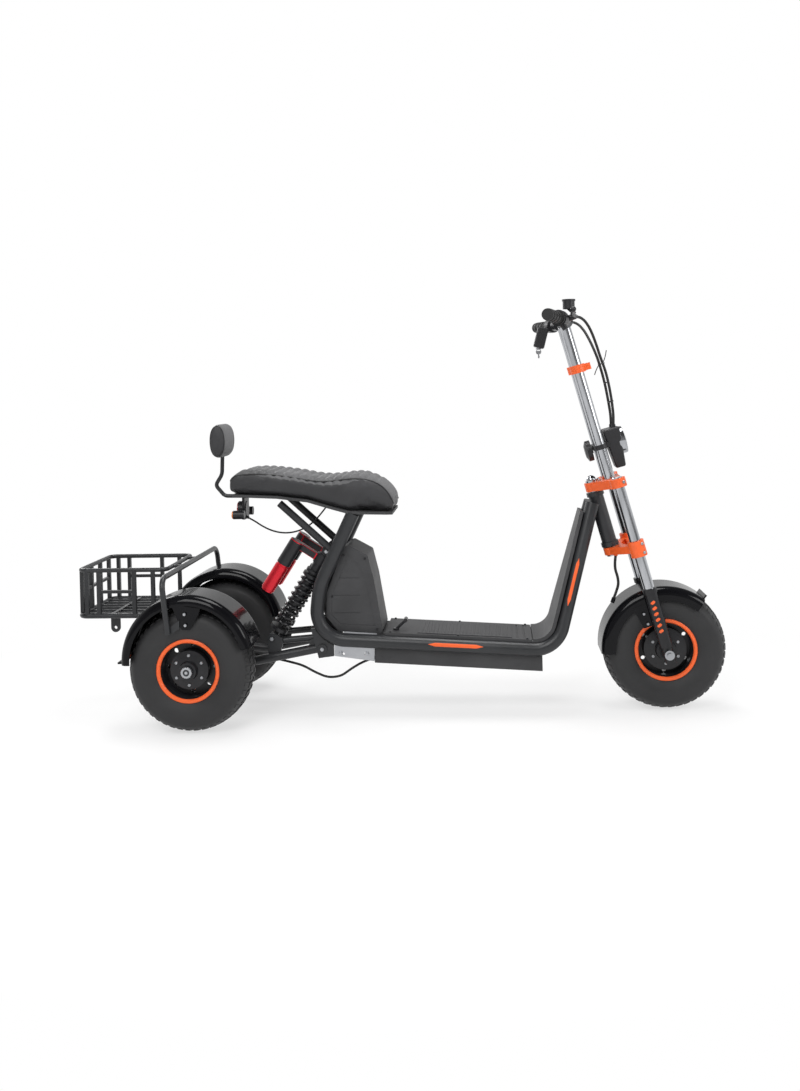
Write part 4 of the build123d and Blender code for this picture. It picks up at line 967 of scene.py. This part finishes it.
# %% Backrest pad
PAD_MID = (46, 819.3)
PAD_HALF = (26, 73, 53)
PAD_START_IN = 2.2
PAD_SEAM_Y = 63
PAD_RINGS = 41
PAD_RING_POINTS = 64
PAD_SQUARENESS = 2.2
PAD_END_POWER = 7
PAD_END_SHARE = 0.45
PAD_PIPING_POINTS = 24
PAD_PIPING_R = 1.8
pad_x, pad_y, pad_z = (half - PAD_START_IN for half in PAD_HALF)
pad_rows = []
for k in range(PAD_RINGS):
    t = -1 + 2 * k / (PAD_RINGS - 1)
    ring_share = (1 - abs(t) ** PAD_END_POWER) ** (1 / PAD_END_POWER) if abs(t) < 1 else PAD_END_SHARE
    row = []
    for j in range(PAD_RING_POINTS):
        c, s = rounded_box(j / PAD_RING_POINTS, PAD_SQUARENESS)
        row.append(at(PAD_MID[0] + c * pad_x * ring_share, t * pad_y, PAD_MID[1] + s * pad_z * ring_share))
    pad_rows.append(row)
pad_mesh = puffed(shell(*skin(pad_rows, caps=True)), voxel=4, most=3)
pad_mesh.materials.append(FINISHES["seat_leather"].material)
pad_mesh.materials.append(SEAT_TOP_FINISH.material)
for face in pad_mesh.polygons:
    face.material_index = 1 if abs(face.center.y) < PAD_SEAM_Y * MM and face.normal.x > -0.2 else 0
pad = piece("pad", pad_mesh, "frame", "seat_leather")
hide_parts("backrest_pad")
pad_skin = surface(pad_mesh)
for name, side in SIDES.items():
    mid = at(PAD_MID[0], side * PAD_SEAM_Y, PAD_MID[1])
    ring = []
    for c, s in turns(PAD_PIPING_POINTS):
        far = at(PAD_MID[0] + c * 60, side * PAD_SEAM_Y, PAD_MID[1] + s * 120)
        ring.append(pad_skin.ray_cast(far, (mid - far).normalized())[0])
    line = tube(ring, PAD_PIPING_R, closed=True)
    piece("pad_piping_" + name, line, "frame", "seat_leather", (PIPING_FINISH,))

# %% [markdown]
# ## Fasteners
# Bolts on a scooter sit on something, so each head is put where a straight line meets the part it holds.
# The table gives the line; the head turns to face back along it. Two heads serve all: a socket screw and
# a hex nut.


# %% Fastener heads
SOCKET_SIDES = 6


def polygon(sides, r, z):
    """Corners of an even polygon at a height, in millimetres on +Z."""
    return [Vector((r * c, r * s, z)) * MM for c, s in turns(sides)]


def head_mesh(sides, outline, socket_r, socket_depth):
    """Head of unit size from rows of (radius, height); a socket of negative depth stands up as a boss."""
    rows = [polygon(sides, r, z) for r, z in outline]
    top = outline[-1][1]
    step = sides // SOCKET_SIDES
    for z in (top, top - socket_depth):
        corner = polygon(SOCKET_SIDES, socket_r, z)
        row = []
        for k in range(SOCKET_SIDES):
            for j in range(step):
                row.append(corner[k].lerp(corner[(k + 1) % SOCKET_SIDES], j / step))
        rows.append(row)
    return shell(*skin(rows, caps=True), sharp=30)


SOCKET_OUTLINE = [(4.6, -1.5), (4.6, 0.4), (4.3, 0.8), (4.0, 0.8), (4.0, 3.6), (3.5, 4.2)]
HEX_OUTLINE = [(4.6, -1.5), (5.2, 0.2), (5.2, 3.6), (4.7, 4.4)]
HEADS = {"socket": head_mesh(24, SOCKET_OUTLINE, socket_r=2.0, socket_depth=2.4),
         "hex": head_mesh(6, HEX_OUTLINE, socket_r=2.9, socket_depth=-1.6)}
head_objects = {}
for kind, mesh in HEADS.items():
    head_objects[kind] = bpy.data.objects.new("head_" + kind, mesh)
print("heads", {kind: len(mesh.polygons) for kind, mesh in HEADS.items()})


# %% Fastener tables
def screws(name, body, kind, slot, rows):
    """Heads of one kind on one body, from rows of (node, start, aim, size)."""
    mesh = bpy.data.meshes.new("spots")
    mesh.from_pydata([seat_on(node, start, aim) for node, start, aim, _ in rows], [], [])
    mesh.attributes.new("aim", "FLOAT_VECTOR", "POINT").data.foreach_set(
        "vector", [value for row in rows for value in -row[2].normalized()])
    mesh.attributes.new("size", "FLOAT", "POINT").data.foreach_set("value", [row[3] for row in rows])
    heads = baked(mesh, ON_POINTS, Head=head_objects[kind], Finish=FINISHES[slot].material)
    return piece(name, heads, body, slot)


DOWN = Vector((0, 0, -1))
# How far out, or how high, a straight line starts, clear of what it has to miss
OUTSIDE_FORK = 160
OUTSIDE_FRAME = 200
OUTSIDE_FENDERS = 400
ABOVE_BOARD = 400
CLAMP_SCREWS = [("upper_clamp", 514), ("lower_clamp", 303), ("lower_clamp", 329)]
FENDER_SCREWS = [(-65, 111), (-54, 82)]
NUT_PLACES = [("swingarm", 203, 226), ("shock_bodies", 372, 484), ("pivot_brackets", 358, 200),
              ("link_plates", 412, 186), ("link_plates", 490, 184)]
FENDER_NUTS = [(2, 347), (4, 316)]
CASE_SCREWS = [(386, 350), (424, 474), (488, 462), (520, 252)]
BOARD_SCREWS = [560, 760, 962]
BOARD_SCREW_Y = 96
clamp_rows, fender_rows = [], []
for side in SIDES.values():
    inward = OUT * -side
    for node, s in CLAMP_SCREWS:
        clamp_rows.append((node, on_fork(80, side * OUTSIDE_FORK, s), inward, 1.0))
    clamp_rows.append(("upper_clamp", on_fork(22, side * 26, 560), -FORK_UP, 0.9))
    clamp_rows.append(("riser_brace", on_fork(120, side * 50, 863), -FORK_AHEAD, 1.0))
    for x, z in FENDER_SCREWS:
        beside = at(WHEELBASE + x, side * OUTSIDE_FORK, TYRE_R + z)
        fender_rows.append(("front_fender", beside, inward, 0.9))
screws("clamp_screws", "steering", "socket", "bare_steel", clamp_rows)
screws("fender_screws", "steering", "socket", "bare_steel", fender_rows)

frame_hex, frame_socket = [], []
for side_name, side in SIDES.items():
    inward = OUT * -side
    for node, x, z in NUT_PLACES:
        frame_hex.append((node, at(x, side * OUTSIDE_FRAME, z), inward, 1.25))
    for x, z in FENDER_NUTS:
        frame_hex.append(("rear_fender_" + side_name, at(x, side * OUTSIDE_FENDERS, z), inward, 0.9))
    for x, z in CASE_SCREWS:
        frame_socket.append(("battery_case", at(x, side * OUTSIDE_FRAME, z), inward, 0.75))
    for x in BOARD_SCREWS:
        frame_socket.append(("deck_board", at(x, side * BOARD_SCREW_Y, ABOVE_BOARD), DOWN, 0.8))
screws("frame_nuts", "frame", "hex", "bare_steel", frame_hex)
screws("case_screws", "frame", "socket", "black_metal", frame_socket)

# %% [markdown]
# ## Hubs and axle ends
# Six screws sit round each hub. One is set by a straight line, like the fasteners above, and the tree
# turns the rest about the axle. The front hub has them on both sides. Each end of the rear axle gets a
# toothed cap.

# %% Hub screws
HUB_SCREWS = 6
HUB_SCREW_R = 42
OUTER_WAYS = {"front": (-OUT, OUT), "rear_right": (-OUT,), "rear_left": (OUT,)}
for label, body, centre in WHEELS:
    parts_of_hub = []
    for way in OUTER_WAYS[label]:
        start = centre + way * (OUTSIDE_FRAME * MM) + Vector((0, 0, HUB_SCREW_R * MM))
        spot = seat_on(RIM_NODES[label], start, -way) - centre
        screw = HEADS["socket"].copy()
        screw.transform(Matrix.Translation(spot) @ way.to_track_quat("Z", "Y").to_matrix().to_4x4())
        parts_of_hub.append(screw)
    copies = baked(joined(parts_of_hub), AROUND_AXLE, Centre=centre, Count=HUB_SCREWS,
                   Finish=FINISHES["bare_steel"].material)
    piece("hub_screws_" + label, copies, body, "bare_steel")

# %% Axle caps
AXLE_CAP_R = 15.5
AXLE_CAP_OUT = 300.3
AXLE_CAP_POINTS = 36
TOOTH_RISE = 1.6
AXLE_CAP_ROWS = [
    # share of the radius, distance out from the end face, whether it is toothed
    (1.0, -9, True),
    (1.0, -1.0, True),
    (0.93, 0.2, True),
    (0.62, 0.2, False),
    (0.58, -1.6, False),
    (0.3, -1.6, False),
    (0.28, 0.4, False),
]
for name, side in SIDES.items():
    place, way = at(0, side * AXLE_CAP_OUT, TYRE_R), OUT * side
    ahead = Vector((1, 0, 0))
    over = way.cross(ahead)
    rows = []
    for share, h, toothed in AXLE_CAP_ROWS:
        row = []
        for k, (c, s) in enumerate(turns(AXLE_CAP_POINTS)):
            radius = (AXLE_CAP_R + (TOOTH_RISE if toothed and k % 2 else 0)) * share
            row.append(place + (ahead * c * radius + over * s * radius + way * h) * MM)
        rows.append(row)
    piece("axle_cap_rear_" + name, shell(*skin(rows, caps=True), sharp=30), "frame", "bare_steel")

# %% [markdown]
# ## Reservoir caps
# Each damper carries a red reservoir whose upper end and bridge are black. The black part is a lathed
# sleeve over the can and a chamfered block round the bridge, both along the damper's own slanted line.

# %% Reservoir caps
SHOCK_LOW = (203, 226)
SHOCK_HIGH = (372, 484)
SHOCK_Y = 58
CAN_OFF = 91
CAN_SIDE = 12
CAN_R = 21.1
CAP_LOW = 206.3
CAP_HIGH = 289.2
BRIDGE_END = 22.6
BRIDGE_HALF_Y = 11.6
BRIDGE_HALF_S = 10.6
BRIDGE_S = 277.4
BRIDGE_SECTION = [(-1, -0.8), (-0.8, -1), (0.8, -1), (1, -0.8), (1, 0.8), (0.8, 1), (-0.8, 1), (-1, 0.8)]
CAP_OUTLINE = [(0, CAP_LOW), (CAN_R - 0.9, CAP_LOW), (CAN_R, CAP_LOW + 1), (CAN_R, CAP_HIGH - 4),
               (CAN_R - 3, CAP_HIGH), (7, CAP_HIGH), (6, CAP_HIGH - 1.4), (0, CAP_HIGH - 1.4)]
shock_up = Vector((SHOCK_HIGH[0] - SHOCK_LOW[0], 0, SHOCK_HIGH[1] - SHOCK_LOW[1])).normalized()
shock_back = Vector((-shock_up.z, 0, shock_up.x))
caps = []
for side in SIDES.values():
    foot = at(SHOCK_LOW[0], side * SHOCK_Y, SHOCK_LOW[1])
    can_foot = foot + (shock_back * CAN_OFF + OUT * side * CAN_SIDE) * MM
    caps.append(lathe(CAP_OUTLINE, can_foot, shock_up, steps=56))
    rows = []
    for back in (CAN_OFF - 4, BRIDGE_END):
        rows.append([foot + (shock_back * back + OUT * y * BRIDGE_HALF_Y
                             + shock_up * (BRIDGE_S + s * BRIDGE_HALF_S)) * MM for y, s in BRIDGE_SECTION])
    caps.append(shell(*skin(rows, caps=True), sharp=40))
piece("reservoir_caps", joined(caps), "frame", "black_metal")

# %% [markdown]
# ## Stripes
# Two plain orange bands brighten the tubes on each side, and a row of short dashes marks each fork leg.
# Each is a thin patch that lies on its round tube, so it is a piece of a slightly larger cylinder with a
# little thickness, tapered at its ends.

# %% Stripes
STRIPE_THICK = 0.45
STRIPE_SUNK = 0.6
STRIPE_TIP = 0.08
STRIPE_STEPS = 10


def patch(start, end, r, middle, half_angle, lean=0.0, taper=0.12, steps=24):
    """Thin patch on a tube of radius r, about the middle direction, tapered over a share of its length."""
    axis = (end - start).normalized()
    middle = (middle - axis * middle.dot(axis)).normalized()
    over = axis.cross(middle)
    outer = [(-1 + 2 * k / STRIPE_STEPS, STRIPE_THICK) for k in range(STRIPE_STEPS + 1)]
    inner = [(1 - 2 * k / STRIPE_STEPS, -STRIPE_SUNK) for k in range(STRIPE_STEPS + 1)]
    rows = []
    for i in range(steps + 1):
        t = i / steps
        width = min(1, max(STRIPE_TIP, min(t, 1 - t) / max(1e-6, taper)))
        row = []
        for share, off in outer + inner:
            a = math.radians(half_angle * width * share + lean * (t - 0.5))
            reach = r + off
            row.append(start.lerp(end, t) + (middle * math.cos(a) + over * math.sin(a)) * reach * MM)
        rows.append(row)
    return shell(*skin(rows, caps=True), sharp=50)


SIDE_TUBE_R = 20
SIDE_TUBE_Y = 100
TUBE_HEEL = (334, 230)
TUBE_SLOPE = math.radians(3.15)
BOARD_STRIPE = (673, 833)
NECK_TUBE = [(1047, 100, 190.8), (1165, 31, 611.9)]
NECK_STRIPE = (0.30, 0.62)
LEG_X = 65
LEG_Y = 97
LEG_R = 18.5
DASHES = 6
DASH_START = 66
DASH_PITCH = 17
DASH_LENGTH = 11


def tube_height(x):
    """Height of the middle of the side tubes along the footboard."""
    return TUBE_HEEL[1] - (x - TUBE_HEEL[0]) * math.tan(TUBE_SLOPE)


stripes = []
dashes = []
for side in SIDES.values():
    rear_end, front_end = (at(x, side * SIDE_TUBE_Y, tube_height(x)) for x in BOARD_STRIPE)
    stripes.append(patch(rear_end, front_end, SIDE_TUBE_R, OUT * side + Vector((0, 0, 0.2)), 15))
    low, high = (Vector((x, y * side, z)) for x, y, z in NECK_TUBE)
    low_end, high_end = (at(*low.lerp(high, share)) for share in NECK_STRIPE)
    stripes.append(patch(low_end, high_end, SIDE_TUBE_R, OUT * side + Vector((-0.1, 0, 0)), 13))
    for k in range(DASHES):
        s = DASH_START + DASH_PITCH * k
        foot, top = (on_fork(LEG_X, side * LEG_Y, height) for height in (s, s + DASH_LENGTH))
        face = OUT * side + FORK_AHEAD * -0.15
        dashes.append(patch(foot, top, LEG_R, face, 20, lean=18, taper=0.3, steps=8))
piece("tube_stripes", joined(stripes), "frame", "orange_paint")
piece("fork_dashes", joined(dashes), "steering", "orange_paint")

# %% [markdown]
# ## Lamps
# The headlamp is a clear dome over a bright dish with a small bulb. The dome is a thin shell, so that
# light goes in and comes out as it does in a real lamp. The tail lamp's lenses stay solid, with fine
# prisms in their finish.

# %% Headlamp
LAMP_S = 624
LAMP_AHEAD = 125.3
lamp_seat = on_fork(LAMP_AHEAD, 0, LAMP_S)
glass = lathe([(0, 8), (13, 7.4), (25, 5.8), (33, 2.8), (34.4, 0.2), (33.2, 0.2), (32, 1.9), (24.5, 4.6),
               (13, 6.2), (0, 6.8)], lamp_seat, FORK_AHEAD, steps=72)
cover = piece("headlamp_cover", glass, "steering", "lamp_glass")
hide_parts("headlamp_lens")
dish = lathe([(0, 0.5), (9, 0.5), (9.6, 0.9), (20, 1.3), (29, 2.6), (31.6, 1.6), (31.6, 0.1), (0, 0.1)],
             lamp_seat, FORK_AHEAD, steps=72)
bulb = lathe([(0, 5.2), (3.2, 4.6), (5, 2.8), (5.4, 0.6), (5.4, 0.3), (0, 0.3)],
             lamp_seat, FORK_AHEAD, steps=32)
piece("headlamp_dish", joined([dish, bulb]), "steering", "chrome")
bezel = lathe([(35.2, -17), (40.6, -16.4), (41.2, -2), (40.2, 2.4), (37, 3.6), (35.1, 2.6)],
              lamp_seat, FORK_AHEAD, steps=80)
piece("headlamp_bezel", bezel, "steering", "chrome")

# %% [markdown]
# ## Grips, ties, key and footboard ribs
# Small things finish the picture: fine rings on the grips, straps that tie the hoses, a key on its ring
# below the left pod, and low ribs across the mat.

# %% Grip rings
GRIP_R = 16.5
GRIP_RINGS = 26
RING_PITCH = 4.2
FIRST_RING = 3
RING_OUTLINE = [(GRIP_R - 0.8, 0), (GRIP_R + 0.5, 0.3), (GRIP_R + 0.8, 1.1), (GRIP_R + 0.5, 1.9),
                (GRIP_R - 0.8, 2.2)]
for name, side in SIDES.items():
    tip = on_fork(-6.8, side * 330, 1028.6)
    way = (on_fork(56.2, side * 95, 1006.6) - tip).normalized()
    ring = lathe(RING_OUTLINE, tip + way * (FIRST_RING * MM), way, steps=40)
    rings = baked(ring, IN_ROW, Count=GRIP_RINGS, Step=way * RING_PITCH * MM,
                  Finish=FINISHES["grip_rubber"].material)
    piece("grip_rings_" + name, rings, "steering", "grip_rubber")

# %% Hose ties
TIES = [
    # ahead, side and height of the middle, half width ahead and to the side
    (126, -1, 858, 9.5, 19),
    (125, -1, 800, 8, 16),
    (121, -1, 742, 8, 16),
]
TIE_ENDS = [[(133, 4, 861), (143, 3, 872), (152, 2, 893)], [(118, -16, 858), (106, -18, 848), (96, -19, 832)]]
TIE_R = 1.5
TIE_END_R = 1.4
ties = []
for x, y, s, half_x, half_y in TIES:
    loop = [on_fork(x + c * half_x, y + w * half_y, s) for c, w in turns(16)]
    ties.append(tube(loop, TIE_R, closed=True))
for end in TIE_ENDS:
    ties.append(tube([on_fork(*point) for point in end], TIE_END_R))
piece("hose_ties", joined(ties), "steering", "black_plastic")

# %% Key and its ring
POD_X, POD_Y = 1027, 181.6
UPWARDS = Vector((0, 0, 1))
POD_LOW = seat_on("key_pod", at(POD_X, POD_Y, 1000), UPWARDS).z / MM - 1
KEY_RING_R = 8
KEY_RING_WIRE_R = 0.9
KEY_RING_BEND = 1.5
KEY_RING_DROP = 11
ring_line = [at(POD_X + c * KEY_RING_R, POD_Y + KEY_RING_BEND * math.sin(4 * math.pi * k / 16),
                POD_LOW - KEY_RING_DROP + s * KEY_RING_R) for k, (c, s) in enumerate(turns(16))]
key_ring = tube(ring_line, KEY_RING_WIRE_R, closed=True)
lock = lathe([(0, 3), (8, 3), (8.6, 1), (8.6, -3), (5.5, -4.5), (5.5, -3.4), (0, -3.4)],
             at(POD_X, POD_Y, POD_LOW), UPWARDS, steps=32)
KEY_SIDE = [(-9, -18), (9, -18), (10, -24), (9, -29), (3, -31), (3, -36), (5, -38), (3, -40), (5, -42),
            (0, -45), (-3, -42), (-3, -31), (-9, -29), (-10, -24)]
key_rows = [[at(POD_X + x * 0.72, POD_Y + y, POD_LOW + 8 + z * 0.9) for x, z in KEY_SIDE] for y in (-1, 1)]
blade = shell(*skin(key_rows, caps=True), sharp=30)
piece("key", joined([key_ring, lock, blade]), "steering", "bare_steel")

# %% Footboard ribs
RIB_HALF = 76
RIB_WIDE = 5
RIB_HIGH = 1.1
RIB_SUNK = 0.4
RIB_TOP_SHARE = 0.36
RIB_END_SHARE = 0.35
RIB_COUNT = 24
RIB_STATIONS = 12
first, last = (seat_on("deck_board", at(x, 0, ABOVE_BOARD), DOWN) for x in (654, 904))
rib_rows = []
for k in range(RIB_STATIONS + 1):
    y = -RIB_HALF + k * RIB_HALF / (RIB_STATIONS / 2)
    end = RIB_END_SHARE if k in (0, RIB_STATIONS) else 1
    top_x, top_z = RIB_WIDE * RIB_TOP_SHARE, RIB_HIGH * end
    section = [(-RIB_WIDE / 2, -RIB_SUNK), (-top_x, top_z), (top_x, top_z), (RIB_WIDE / 2, -RIB_SUNK)]
    rib_rows.append([first + Vector((x * end, y, z)) * MM for x, z in section])
rib = shell(*skin(rib_rows, caps=True), sharp=50)
ribs = baked(rib, IN_ROW, Count=RIB_COUNT, Step=(last - first) / (RIB_COUNT - 1),
             Finish=FINISHES["board_plastic"].material)
piece("footboard_ribs", ribs, "frame", "board_plastic")
